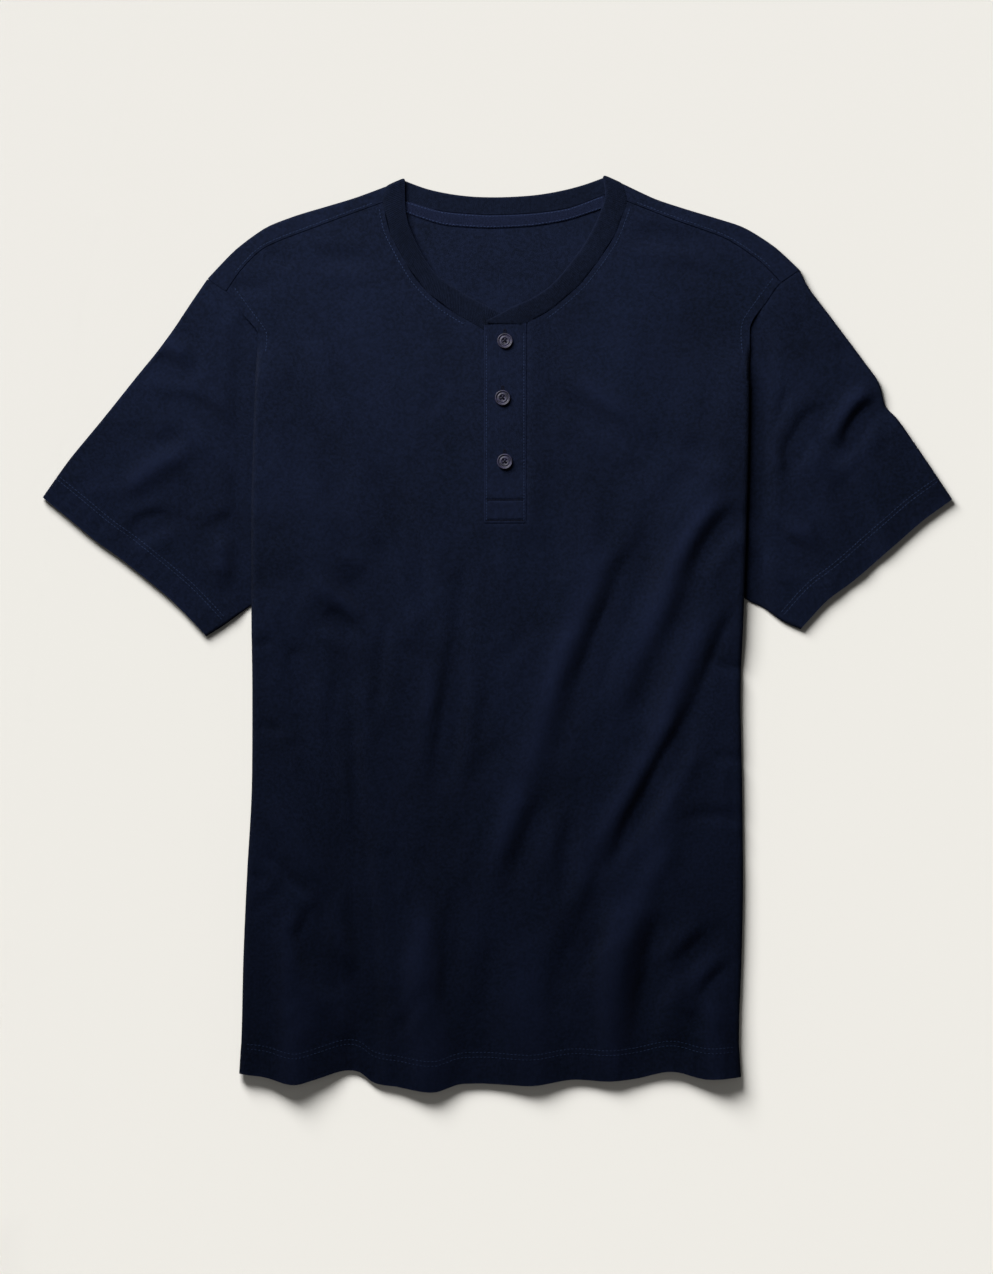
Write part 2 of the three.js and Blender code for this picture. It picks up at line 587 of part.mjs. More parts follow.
function backGrid() {
  const flaps = { right: shoulderFlap("right", SHOULDER_STEPS), left: shoulderFlap("left", SHOULDER_STEPS) };
  const neck = spaced(BACK_NECK, 2 * NECK_STEPS - 1);
  const margin = ROLL_BACK + GAP;
  const base = (side) => columnsOf(side, flaps[side].map((flap) => flap.base), BACK_END[side], margin);
  const columns = [
    ...base("right"),
    ...neck.map(([x, y]) => columnsOf(sideOf(x), [[x, y]], BACK_END.left, margin)[0]),
    ...base("left").reverse(),
  ];
  // Below the armholes the back has the front's columns, so that the two lie close where the stack steps
  const front = frontColumns();
  for (const [k, column] of columns.entries()) {
    column.low = column.side === front[k].side ? front[k].low : column.share;
  }
  const pad = Array.from({ length: BACK_TURNS + STRIP_STEPS }, () => null);
  const extra = flaps.right[0].rise.map((_, k) => [
    ...pad,
    ...flaps.right.map((flap) => flap.rise[k]),
    ...neck.map(() => null),
    ...[...flaps.left].reverse().map((flap) => flap.rise[k]),
    ...pad,
  ]);
  return panel({
    columns,
    hem: (x) => (Math.abs(x) > BACK_HEM_HALF ? frontHem(EDGE[sideOf(x)][0].x) : BACK_HEM),
    end: BACK_END,
    semi: ROLL_BACK,
    inset: (y, full) => (
      full ? STRIP_START : mix(STRIP_START, GAP, smooth((y - BACK_SPREAD.from) / BACK_SPREAD.over))
    ),
    height: backHeight,
    under: (x, y, high, full) => (full ? underHeight(x, y) + STACK_PITCH : high),
    turnSteps: BACK_TURNS,
    extra,
  });
}

// Sleeves: one flattened tube each, open at the cuff and at the armhole
function sleeveGrid(side) {
  const [rows, cols] = [SLEEVE_ROWS, SLEEVE_COLS];
  const { upper, lower, cuff, armhole } = SLEEVES[side];
  const curves = { upper: spaced(upper, rows), lower: spaced(lower, rows),
    cuff: spaced(cuff, cols), armhole: spaced(armhole, cols) };
  const plan = (i, j) => {
    const [s, t] = [i / rows, j / cols];
    return [0, 1].map((d) => {
      const across = mix(curves.upper[i][d], curves.lower[i][d], t);
      const along = mix(curves.cuff[j][d], curves.armhole[j][d], s);
      const low = mix(curves.cuff[0][d], curves.cuff[cols][d], t);
      const high = mix(curves.armhole[0][d], curves.armhole[cols][d], t);
      return across + along - mix(low, high, s);
    });
  };
  const inward = (p, q, d) => {
    const length = Math.hypot(q[0] - p[0], q[1] - p[1]);
    return [p[0] + ((q[0] - p[0]) * d) / length, p[1] + ((q[1] - p[1]) * d) / length];
  };
  const reach = ROLL_SLEEVE + JERSEY / 2;
  return Array.from({ length: rows + 1 }, (_, i) => {
    let line = Array.from({ length: cols + 1 }, (_, j) => plan(i, j));
    if (i === rows) {
      const before = Array.from({ length: cols + 1 }, (_, j) => plan(rows - 1, j));
      line = line.map((p, j) => inward(p, before[j], ARMHOLE_GAP));
    }
    const [first, last] = [line[0], line[cols]];
    const ends = [inward(first, line[1], reach), inward(last, line[cols - 1], reach)];
    const flat = [ends[0], ...line.slice(1, cols), ends[1]];
    const over = flat.map(([x, y]) => [x, y, sleeveHeight(x, y)]);
    const below = flat.map(([x, y]) => [x, y, FLOOR_LAYER]).reverse();
    const bulge = (end, tip, from, to) => SLEEVE_TURNS.map((s) => {
      const [x, y] = inward(end, tip, ROLL_SLEEVE * Math.sin(Math.PI * s));
      return [x, y, mix(from, to, (1 - Math.cos(Math.PI * s)) / 2)];
    });
    const lowEdge = bulge(ends[1], last, over[cols][2], FLOOR_LAYER);
    const highEdge = bulge(ends[0], first, FLOOR_LAYER, over[0][2]);
    return [...over, ...lowEdge, ...below, ...highEdge];
  });
}

// Neckband: one strip of folded rib, turned over at the end of each shoulder
const BAND_ROLL = 1.4;
const BAND_COLUMNS = [0, 0.33, 0.67, 1];
const BAND_TURN = [0.25, 0.5, 0.75];
const BAND_LIFT = 0.4;
const BAND_CORNER = 8;
const OVERLAP = { start: 36, full: 14, rise: RIB + 2 * GAP };

function bandFrontHeight(side, x, y) {
  const cross = side === "left" ? smooth((OVERLAP.start - x) / (OVERLAP.start - OVERLAP.full)) : 0;
  return frontHeight(x, y) + BAND_LIFT + cross * OVERLAP.rise;
}

// A run of points moved to its left by a distance
function shifted(points, distance) {
  return points.map(([x, y], k) => {
    const before = points[Math.max(0, k - 1)];
    const after = points[Math.min(points.length - 1, k + 1)];
    const [dx, dy] = [after[0] - before[0], after[1] - before[1]];
    const length = Math.hypot(dx, dy);
    return [x - (dy * distance) / length, y + (dx * distance) / length];
  });
}

// Each straight step of a run halved
function halved(points) {
  return points.flatMap((p, k) => (k === 0 ? [p] : [points[k - 1].map((v, d) => mix(v, p[d], 0.5)), p]));
}

function bandGrid() {
  const stretch = (free, seam, height) => {
    const inner = spaced(free, seam.length - 1);
    return inner.map((point, k) => BAND_COLUMNS.map((t) => {
      const [x, y] = [mix(point[0], seam[k][0], t), mix(point[1], seam[k][1], t)];
      return [x, y, height(x, y)];
    }));
  };
  // The seam edge runs beside the neck seam of the panels, from the same points
  const frontSeam = (side) => {
    const neck = halved(spaced(FRONT_NECK[side], NECK_STEPS));
    const beside = shifted(neck, side === "right" ? NECK_GAP : -NECK_GAP).reverse();
    const past = beside.filter(([x]) => side === "right" || x > BAND.left.end[1][0] + BAND_CORNER);
    return [...BAND[side].end, ...past, BAND[side].fold];
  };
  const backSeam = [BAND.right.fold, ...shifted(spaced(BACK_NECK, 2 * NECK_STEPS - 1), NECK_GAP).slice(1, -1),
    BAND.left.fold];
  const right = stretch(BAND.right.free, frontSeam("right"), (x, y) => bandFrontHeight("right", x, y));
  const back = stretch(BAND.back.free, backSeam, () => RIB / 2);
  const left = stretch(BAND.left.free, frontSeam("left").reverse(), (x, y) => bandFrontHeight("left", x, y));
  // Half turn from a front stretch down to the back one, about the line where the band is folded
  const roll = (front, side) => {
    const [free, seam] = [front[0], front[BAND_COLUMNS.length - 1]];
    const length = Math.hypot(seam[0] - free[0], seam[1] - free[1]);
    const out = [(SIGN[side] * (free[1] - seam[1])) / length, Math.abs(seam[0] - free[0]) / length];
    return BAND_TURN.map((s) => front.map(([x, y, z]) => {
      const reach = BAND_ROLL * Math.sin(Math.PI * s);
      return [x + out[0] * reach, y + out[1] * reach, mix(z, RIB / 2, (1 - Math.cos(Math.PI * s)) / 2)];
    }));
  };
  return [...right, ...roll(right[right.length - 1], "right"), ...back,
    ...roll(left[0], "left").reverse(), ...left];
}

// Strip between two curves, with its points at the height given
function stripGrid(lower, upper, steps, columns, height) {
  const [a, b] = [spaced(lower, steps), spaced(upper, steps)];
  return a.map((point, k) => Array.from({ length: columns + 1 }, (_, n) => {
    const t = n / columns;
    const [x, y] = [mix(point[0], b[k][0], t), mix(point[1], b[k][1], t)];
    return [x, y, height(x, y)];
  }));
}

// Buttons: a turned disc with a rim and a dish, and four holes
function buttonGeometry() {
  const section = BUTTON_SECTION.map(({ r, z }) => new THREE.Vector2(r, z));
  const lathe = new THREE.LatheGeometry(section, BUTTON_SIDES);
  lathe.rotateX(Math.PI / 2);
  let solid = toManifold(lathe);
  for (const [sx, sy] of [[-1, -1], [-1, 1], [1, -1], [1, 1]]) {
    const drill = new THREE.CylinderGeometry(BUTTON.hole, BUTTON.hole, 3 * BUTTON.height, HOLE_SIDES);
    drill.rotateX(Math.PI / 2);
    drill.translate((sx * BUTTON.holeOff) / Math.SQRT2, (sy * BUTTON.holeOff) / Math.SQRT2, 0);
    solid = solid.subtract(toManifold(drill));
  }
  return fromManifold(solid);
}

function toManifold(geometry) {
  const source = geometry.toNonIndexed().getAttribute("position");
  const places = new Map();
  const vertices = [];
  const triangles = [];
  for (let k = 0; k < source.count; k++) {
    const point = [source.getX(k), source.getY(k), source.getZ(k)];
    const key = point.map((v) => Math.round(v * 1e5)).join();
    if (!places.has(key)) {
      places.set(key, places.size);
      vertices.push(...point);
    }
    triangles.push(places.get(key));
  }
  const kept = [];
  for (let k = 0; k < triangles.length; k += 3) {
    const [a, b, c] = triangles.slice(k, k + 3);
    if (a !== b && b !== c && c !== a) kept.push(a, b, c);
  }
  const mesh = new wasm.Mesh({ numProp: 3, vertProperties: new Float32Array(vertices),
    triVerts: new Uint32Array(kept) });
  return new wasm.Manifold(mesh);
}

function fromManifold(solid) {
  const mesh = solid.getMesh();
  const geometry = new THREE.BufferGeometry();
  geometry.setAttribute("position", new THREE.BufferAttribute(mesh.vertProperties, mesh.numProp));
  geometry.setIndex(new THREE.BufferAttribute(mesh.triVerts, 1));
  return geometry;
}

// Assembly

const front = slitFront(frontGrid());
add("back_panel", wall(backGrid(), JERSEY), COLORS.cloth);
add("front_panel", wall(front.cut, JERSEY), COLORS.cloth);
add("sleeve_right", wall(sleeveGrid("right"), JERSEY, true), COLORS.cloth);
add("sleeve_left", wall(sleeveGrid("left"), JERSEY, true), COLORS.cloth);
add("neckband", wall(bandGrid(), RIB), COLORS.rib);

const tapeHeight = FLOOR_LAYER + JERSEY / 2 + GAP + TAPE / 2;
add("neck_tape", wall(stripGrid(TAPE_LOWER, TAPE_UPPER, TAPE_STEPS, 1, () => tapeHeight), TAPE), COLORS.tape);

// The under strip lies in the slit, between the front's own points
const underStrip = front.sides.map(([a, b], k, all) => {
  const back = k === 0 ? 2 * GAP : k === all.length - 1 ? -4 * GAP : 0;
  return [0, 0.5, 1].map((t) => {
    const x = mix(a[0] + 2 * GAP, b[0] - 2 * GAP, t);
    const y = mix(a[1], b[1], t) + back;
    return [x, y, frontHeight(x, y)];
  });
});
add("placket_under", wall(underStrip, JERSEY), COLORS.cloth);

const overHeight = (x, y) => frontHeight(x, y) + JERSEY / 2 + 2 * GAP + BAND_STRIP / 2;
const overStrip = stripGrid(
  [[PLACKET.right, PLACKET.bottom], [PLACKET.right, PLACKET.top - TOP_SLANT]],
  [[PLACKET.left + 1, PLACKET.bottom], [PLACKET.left + 1, PLACKET.top]],
  PLACKET_STEPS, 3, overHeight,
);
add("placket_over", wall(overStrip, BAND_STRIP), COLORS.cloth);

// Each button lies on the slope of the strip below it, taken across this much to either side
const REST = 4;
for (const { name, x, y } of BUTTONS) {
  const slopeX = (overHeight(x + REST, y) - overHeight(x - REST, y)) / (2 * REST);
  const slopeY = (overHeight(x, y + REST) - overHeight(x, y - REST)) / (2 * REST);
  const normal = new THREE.Vector3(-slopeX, -slopeY, 1).normalize();
  const button = add(name, buttonGeometry(), COLORS.button, 0.45);
  button.quaternion.setFromUnitVectors(new THREE.Vector3(0, 0, 1), normal);
  const lift = BAND_STRIP / 2 + 2 * GAP;
  button.position.set(x, y, overHeight(x, y)).addScaledVector(normal, lift);
}

export default group;
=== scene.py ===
# Henley shirt laid flat: cloth shells, ribs, seams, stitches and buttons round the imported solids.
# The tables are in millimetres on the shirt's plan; the pieces are in metres in the frame of the model.

import math

import bpy
import numpy as np
from mathutils import Matrix


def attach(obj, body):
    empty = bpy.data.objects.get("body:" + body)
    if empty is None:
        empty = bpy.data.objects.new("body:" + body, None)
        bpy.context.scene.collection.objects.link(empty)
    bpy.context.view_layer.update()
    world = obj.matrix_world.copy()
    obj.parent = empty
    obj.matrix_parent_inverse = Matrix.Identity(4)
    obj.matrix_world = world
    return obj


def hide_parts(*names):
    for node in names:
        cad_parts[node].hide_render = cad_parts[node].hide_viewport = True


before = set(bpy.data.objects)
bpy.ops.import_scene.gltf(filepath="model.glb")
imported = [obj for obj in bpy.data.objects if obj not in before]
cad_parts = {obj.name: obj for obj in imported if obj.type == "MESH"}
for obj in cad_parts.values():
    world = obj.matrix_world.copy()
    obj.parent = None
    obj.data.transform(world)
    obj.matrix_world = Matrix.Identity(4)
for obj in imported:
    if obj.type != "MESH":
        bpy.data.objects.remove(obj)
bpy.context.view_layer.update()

MM = 0.001
PLAN_SHIFT = (0.4135, -1.456, 0.0)

# Cloth thicknesses, clearances and rolls, as in the solids
JERSEY = 1.2
RIB = 2.0
TAPE = 1.0
BAND_STRIP = 1.8
GAP = 0.3
PITCH = JERSEY + GAP
FLOOR_LAYER = JERSEY / 2
LOFT = 2.6
LEAST_LOFT = 0.7
LOFT_SOFTNESS = 0.5
STACK_FULL = 205
STACK_NONE = 245
STACK_RAMP = 26
STACK_PITCH = 2
SUPPORT = (24, 36)
PRESSED = (12, 14)
ARMHOLE_GAP = 0.7
NECK_GAP = 0.12
ROLL_FRONT = 4.0
ROLL_BACK = 0.75
ROLL_SHOULDER = 1.2
ROLL_SLEEVE = 1.6
STRIP_START = JERSEY / 2 + ROLL_FRONT
STRIP_SHORT = 1.2

PLACKET = {"left": 22, "right": -11.3, "bottom": 91, "top": 250.6}
BUTTONS = {"button_top": (5.5, 238), "button_middle": (3.7, 192), "button_bottom": (5.5, 140.4)}
BUTTON_RADIUS = 6.35
BUTTON_HEIGHT = 2.4
BODY_HEM = 22
CUFF_HEM = 20

# Sides of the body: height, x
EDGE = {
    "right": [(-357, -209.8), (-328, -208.2), (-263, -206.6), (-198, -203.8), (-117, -199.6),
              (-53, -199.3), (22, -199.8), (95, -199.8), (160, -198.2), (205, -196.5),
              (243, -194.4), (260, -206.6), (278.6, -220.3), (289.2, -235.7)],
    "left": [(-358, 196.8), (-328, 195.4), (-263, 197.6), (-198, 198.8), (-117, 198),
             (-53, 196.8), (22, 199.2), (95, 201.7), (160, 203.3), (205, 203.8),
             (243, 204), (253, 205.4), (269.7, 217.1), (285.9, 229.2), (296.5, 244.6)],
}
FRONT_END = {"right": 278.6, "left": 285.9}
BACK_END = {"right": 289.2, "left": 296.5}
TUCK_EDGE = {
    "right": [(-360, -143), (90, -143), (104, -156), (124, -172), (160, -184), (205, -188.5)],
    "left": [(-360, 143), (92, 143), (106, 158), (126, 175), (162, 189), (205, 195.5)],
}
HEM = [(-209.8, -355.6), (-189.5, -358), (-165, -363.7), (-150.7, -360.5), (-121.5, -353.2),
       (-111.8, -355), (-102, -362.5), (-82.6, -366.1), (-53.5, -370.2), (-29, -364),
       (-9.7, -363.7), (24.3, -365.3), (63.2, -360.5), (87.5, -361.7), (111.8, -359.6),
       (141, -354), (170, -359.6), (196.8, -358)]
BACK_HEM = -350

SHOULDER_SEAM = {
    "right": [(-220.3, 278.6), (-208.5, 295.5), (-188.7, 314.3), (-145.8, 331.3), (-93.2, 350.7)],
    "left": [(229.2, 285.9), (212.2, 302.9), (183.9, 321.6), (140.9, 337), (104.5, 351.5)],
}
SHOULDER_FOLD = {
    "right": [(-235.7, 289.2), (-213, 312.7), (-188.7, 330.5), (-164.4, 340.2), (-140.1, 347.5),
              (-115.8, 354.8), (-91.5, 363.7)],
    "left": [(244.6, 296.5), (224.4, 315.1), (200.1, 330.5), (175.8, 338.6), (151.5, 345.9),
             (127.2, 354), (102.9, 365.3)],
}
FRONT_NECK = {
    "right": [(-93.2, 350.7), (-87.5, 325.6), (-67.2, 289.2), (-45.4, 267.7), (-11.3, 247)],
    "left": [(104.5, 351.5), (99.6, 337), (91.5, 318.3), (68, 285.9), (42.1, 263.3), (22, 251.8)],
}
BACK_NECK = [(-88, 360.6), (-72.9, 351.5), (-45.4, 344.3), (-8.9, 341.3), (27.5, 342.6),
             (56.7, 346.7), (85.9, 357.4), (99.5, 362.3)]
BAND_FREE = {
    "right": [(5.5, 259.8), (-16.2, 270.5), (-27.5, 277), (-41.3, 285.9), (-54.3, 297.3), (-65.6, 316.7),
              (-73.7, 337), (-75.3, 352.4), (-75.3, 368.6)],
    "back": [(-75.3, 368.6), (-67.2, 366.1), (-55.1, 361.3), (-42.9, 358.8), (-18.6, 355.8),
             (5.7, 355.6), (30, 357.2), (54.3, 361.3), (66.4, 364.5), (78.6, 369), (85, 371)],
    "left": [(85, 371), (86.7, 357.2), (81.8, 340.2), (71.3, 319.1), (56.7, 298.9), (42.1, 282.7),
             (27.5, 273), (13, 266.5), (4, 261.6), (-8.9, 254.8)],
}
BAND_END = {"right": [(0.5, 253), (-10, 248.9)], "left": [(-8.6, 252.2), (13, 252)]}
BAND_FOLD = {"right": (-90.6, 362), "left": (101.6, 363.6)}
TAPE_LOWER = [(-76, 343.2), (-45.4, 333.3), (-8.9, 330.5), (27.5, 332.1), (56.7, 337), (86, 346.6)]
TAPE_UPPER = [(-76, 352.6), (-45.4, 343.8), (-8.9, 340.8), (27.5, 342.1), (56.7, 346.2), (86, 357)]
SLEEVES = {
    "right": {
        "upper": [(-369.4, 111.8), (-348.3, 141.8), (-321.6, 174.2), (-295.7, 206.6), (-269.7, 239),
                  (-247.9, 271.4), (-235.7, 289.2)],
        "lower": [(-236.5, -0.8), (-219.5, 10.1), (-206.6, 19.4), (-194, 29), (-168, 56), (-143, 90)],
        "cuff": [(-369.4, 111.8), (-346.7, 93.2), (-327.2, 77), (-304.6, 60.8), (-264.9, 28.4),
                 (-236.5, -0.8)],
        "armhole": [(-235.7, 289.2), (-220.3, 278.6), (-206.6, 260), (-194.4, 243), (-188.5, 205),
                    (-184, 160), (-172, 124), (-156, 104), (-143, 90)],
    },
    "left": {
        "upper": [(368.6, 110.2), (347.5, 141.8), (325, 174.2), (314.5, 186), (309, 205),
                  (296.5, 222.8), (272.2, 255.2), (252.7, 281.1), (244.6, 297)],
        "lower": [(245.4, 4.9), (229.2, 12.2), (214.7, 22.7), (200.1, 30), (170, 58), (143, 92)],
        "cuff": [(368.6, 110.2), (345.1, 93.2), (326.4, 77), (289.2, 44.6), (267.3, 28.4), (245.4, 4.9)],
        "armhole": [(244.6, 297), (229.2, 285.9), (217.1, 269.7), (204.9, 252.7), (195.5, 205),
                    (189, 162), (175, 126), (158, 106), (143, 92)],
    },
}

# Main folds, as in the solids: start, middle, end, half width, height of a ridge or depth of a trough
FOLDS = [
    (165, -53, 126, -127, 87, -187, 9, -5), (186, 42, 150, -32, 118, -104, 12, 4),
    (135, 98, 92, 22, 54, -88, 13, -5), (78, 62, 36, -70, -14, -240, 14, 4.5),
    (-31, 36, -42, -84, -49, -133, 10, -2.5), (-174, -7, -144, -107, -127, -198, 10, -3.5),
    (-117, -133, -105, -279, -103, -375, 10, -4), (-142, -216, -170, -262, -108, -296, 12, -5),
    (-34, -207, -45, -284, -42, -327, 11, -3), (106, -178, 89, -241, 95, -405, 15, 6),
    (136, -215, 120, -270, 116, -338, 13, -4), (175, -241, 141, -271, 121, -293, 9, -3),
    (-92, 126, -68, 83, -61, 25, 10, -3), (-135, 169, -128, 140, -122, 111, 10, -2.5),
    (202, 97, 170, 92, 150, 30, 9, -5), (184, 138, 150, 62, 112, -42, 13, 4),
    (-143, 19, -127, 9, -111, 0, 9, -4), (106, 326, 132, 322, 169, 316, 8, -2.5),
    (-152, 307, -127, 305, -103, 303, 8, -2), (-55, -405, -56, -335, -66, -225, 19, 6.5),
    (-166, -405, -164, -345, -158, -275, 15, 6), (32, -405, 30, -340, 20, -235, 20, 4.5),
    (183, -405, 180, -340, 170, -275, 13, 5.5), (-280, 224, -267, 217, -250, 205, 9, -3),
    (-262, 191, -226, 175, -215, 143, 9, -4), (-254, 165, -266, 156, -275, 147, 9, -2.5),
    (-250, 156, -288, 130, -305, 115, 11, 3.5), (-262, 94, -284, 89, -299, 79, 9, -3),
    (-206, 89, -218, 89, -233, 88, 8, -3), (312, 181, 286, 178, 284, 141, 9, -5),
    (271, 181, 245, 175, 237, 128, 10, -4), (257, 162, 270, 150, 284, 137, 7, -2.5),
    (209, 92, 236, 66, 256, 53, 10, -4.5), (273, 128, 288, 105, 305, 63, 10, -3),
]
# Softer and lesser folds, in the same columns
LESSER_FOLDS = [
    (155, 40, 138, 0, 110, -88, 10, -3), (128, -85, 102, -140, 64, -206, 12, 3.5),
    (152, -105, 122, -200, 100, -305, 13, 4.5), (42, -122, 24, -165, 6, -210, 10, -3),
    (62, -140, 50, -188, 60, -220, 7, -2), (100, -188, 80, -236, 44, -294, 14, -4),
    (180, -240, 155, -258, 143, -288, 9, -2.4), (-56, -212, -60, -258, -64, -300, 14, 3),
    (-22, -283, -18, -320, -16, -362, 15, -3), (-192, -128, -165, -168, -145, -208, 11, 3),
    (-156, -215, -174, -252, -168, -325, 10, 3.5), (-106, -12, -109, -60, -108, -125, 11, 2.5),
    (-41, 22, -50, -30, -56, -92, 11, 2.5), (-34, -20, -36, -60, -45, -132, 10, -2.5),
    (-156, 50, -128, 27, -100, -5, 8, 3), (40, 224, 92, 192, 132, 158, 12, 3),
    (52, 196, 74, 178, 97, 158, 9, -2.6), (-198, 50, -182, 44, -163, 38, 14, -2.5),
    (-128, 68, -118, 60, -106, 52, 7, 2), (-66, 22, -68, 8, -76, -14, 8, 1.8),
    (168, -262, 160, -280, 156, -300, 8, 1.4), (156, -302, 161, -313, 168, -326, 8, -2),
    (-272, 241, -262, 235, -251, 224, 8, 2.6), (-243, 158, -272, 143, -318, 104, 10, 2),
    (-222, 80, -227, 62, -224, 44, 9, 2.2), (-204, 44, -216, 38, -225, 27, 8, -2),
    (308, 201, 282, 196, 276, 158, 9, 3), (268, 146, 284, 118, 293, 158, 6, 2),
    (228, 88, 245, 82, 262, 86, 9, 2), (217, 156, 224, 142, 231, 129, 8, 1.6),
    (272, 239, 280, 230, 287, 221, 6, -1.5), (148, 159, 165, 147, 184, 141, 8, -2),
    (-174, 262, -150, 180, -116, 82, 10, -2.2), (-160, 262, -136, 190, -112, 110, 11, 2),
    (84, 150, 70, 40, 60, 0, 16, 2),
]
# Smaller creases, with a sharper bottom or crest
CREASES = [
    (-96, 138, -70, 86, -60, 20, 6, -3.4), (-101, 82, -85, 56, -72, 18, 6, -3.4),
    (-123, 50, -112, 30, -99, 4, 6, -3.2), (-90, 16, -95, -20, -98, -66, 6, -3.2),
    (-119, -60, -114, -160, -103, -296, 6, -3.6), (-103, -290, -104, -330, -104, -372, 6, -1.6),
    (-136, -48, -136, -130, -126, -203, 6, -3), (-28, 64, -31, 10, -34, -34, 6, -2.8),
    (-35, -198, -34, -246, -45, -290, 4.5, -3), (-186, -173, -172, -198, -151, -213, 5, -2.8),
    (-147, -218, -157, -234, -168, -251, 6, -2.4), (168, -38, 128, -115, 90, -192, 5, -3),
    (192, 24, 173, -18, 160, -50, 6, -2.6), (188, -266, 172, -278, 161, -296, 6, -2),
    (197, -153, 182, -140, 150, -150, 6, -2.6), (52, -182, 52, -198, 52, -215, 6, -1.2),
    (198, -28, 187, -27, 176, -23, 5, -2.8), (199, -101, 184, -101, 174, -97, 5, -1.8),
    (-199, -7, -192, -8, -182, -6, 5, -1.8), (-167, -8, -160, -30, -151, -46, 6, -3),
    (-194, -72, -186, -76, -173, -77, 5, -2.2), (-203, -196, -195, -196, -184, -200, 5, -1.6),
    (149, 157, 162, 150, 175, 143, 7, -0.9), (-189, 310, -178, 306, -166, 299, 6, -2.4),
    (-217, 283, -203, 282, -185, 279, 6, -2.6), (-196, 262, -195, 210, -197, 160, 5, 0.9),
    (-180, 268, -179, 230, -177, 190, 6, -0.9), (-282, 223, -268, 220, -249, 204, 4.5, -2.6),
    (-259, 248, -243, 240, -243, 211, 6, -1.8), (-264, 192, -232, 190, -215, 138, 5, -3),
    (-255, 130, -248, 112, -245, 98, 6, -2), (-262, 94, -290, 96, -301, 70, 6, -2.6),
    (-200, 90, -218, 90, -240, 87, 6, -2.4), (319, 182, 305, 181, 291, 178, 3.5, -2.8),
    (309, 190, 288, 184, 283, 146, 5, -3), (273, 181, 242, 184, 235, 123, 5, -3),
    (255, 164, 268, 155, 281, 141, 4.5, -2.4), (204, 96, 228, 76, 264, 47, 5, -3.4),
    (274, 128, 289, 104, 305, 60, 6, -2), (234, 200, 231, 184, 222, 162, 5, -1.8),
    (-121, -400, -121, -352, -118, -320, 12, -3.5), (141, -400, 141, -352, 138, -320, 12, -3.5),
]

SIGN = {"right": -1, "left": 1}
rng = np.random.default_rng(20)


def mix(a, b, t):
    return a + (b - a) * t


def smooth(t):
    s = np.clip(t, 0, 1)
    return s * s * (3 - 2 * s)


def read(table, at):
    """Smooth value of a table of key and value, kept between its rows and held level past its ends."""
    rows = np.array(sorted(table), float)
    keys, values = rows[:, 0], rows[:, 1]
    step = np.diff(values) / np.diff(keys)
    before = np.concatenate([step[:1], step])
    after = np.concatenate([step, step[-1:]])
    most = 3 * np.minimum(abs(before), abs(after))
    slope = np.sign(after) * np.minimum(abs(before + after) / 2, most)
    slope[before * after <= 0] = 0
    at = np.clip(np.asarray(at, float), keys[0], keys[-1])
    i = np.clip(np.searchsorted(keys, at, side="right") - 1, 0, len(keys) - 2)
    width = keys[i + 1] - keys[i]
    t = (at - keys[i]) / width
    bend = t * (1 - t) * width * ((slope[i] - step[i]) * (1 - t) - (slope[i + 1] - step[i]) * t)
    return mix(values[i], values[i + 1], t) + bend


def dense(points, parts=12, share=0.7):
    """Points along a smooth curve through the given ones."""
    p = np.asarray(points, float)
    before = np.vstack([p[:1], p[:-1]])[:-1]
    after = np.vstack([p[1:], p[-1:]])[1:]
    q, r = p[:-1], p[1:]
    out = []
    for t in np.arange(parts) / parts:
        bend = 2 * before - 5 * q + 4 * r - after + t * (3 * (q - r) + after - before)
        out.append(mix(mix(q, r, t), q + 0.5 * t * (r - before + t * bend), share))
    return np.vstack([np.stack(out, 1).reshape(-1, p.shape[1]), p[-1:]])


def lengths(points):
    return np.concatenate([[0], np.cumsum(np.linalg.norm(np.diff(points, axis=0), axis=1))])


def spaced(points, count, parts=12, share=0.7):
    """Points at equal steps along a smooth curve through the given ones."""
    line = dense(points, parts, share)
    along = lengths(line)
    want = np.linspace(0, along[-1], count + 1)
    return np.stack([np.interp(want, along, line[:, d]) for d in range(line.shape[1])], 1)


def shifted(points, distance):
    """A run of plan points moved to its left."""
    p = np.asarray(points, float)
    way = np.gradient(p, axis=0)
    way /= np.linalg.norm(way, axis=1)[:, None]
    return p + distance * np.stack([-way[:, 1], way[:, 0]], 1)


def outside(outline, x, y):
    """Signed distance to a closed outline on the plan, negative inside."""
    best = np.full(np.shape(x), np.inf)
    inside = np.zeros(np.shape(x), bool)
    for (ax, ay), (bx, by) in zip(outline, outline[1:] + outline[:1]):
        dx, dy = bx - ax, by - ay
        t = np.clip(((x - ax) * dx + (y - ay) * dy) / (dx * dx + dy * dy), 0, 1)
        best = np.minimum(best, np.hypot(x - ax - t * dx, y - ay - t * dy))
        if dy:
            inside ^= ((ay > y) != (by > y)) & (x < ax + (y - ay) / dy * dx)
    return np.where(inside, -best, best)


# Heights

def edge_at(side, y, end):
    return read(EDGE[side], np.minimum(y, end))


tuck_outline, hidden_sleeve = {}, {}
for side in SIGN:
    edge = [(x, y) for y, x in EDGE[side] if y <= STACK_NONE]
    inner = [(x, y) for y, x in TUCK_EDGE[side]][::-1]
    tuck_outline[side] = edge + inner
    over = [(x, y) for x, y in edge if y > 25]
    armhole = [(x, y) for x, y in inner if y >= 100]
    hidden_sleeve[side] = over[::-1] + SLEEVES[side]["lower"][3:] + armhole[::-1]


def cover(outlines, x, y, margin, ramp):
    right = 1 - smooth((outside(outlines["right"], x, y) - margin) / ramp)
    left = 1 - smooth((outside(outlines["left"], x, y) - margin) / ramp)
    return np.where(x < 0, right, left)


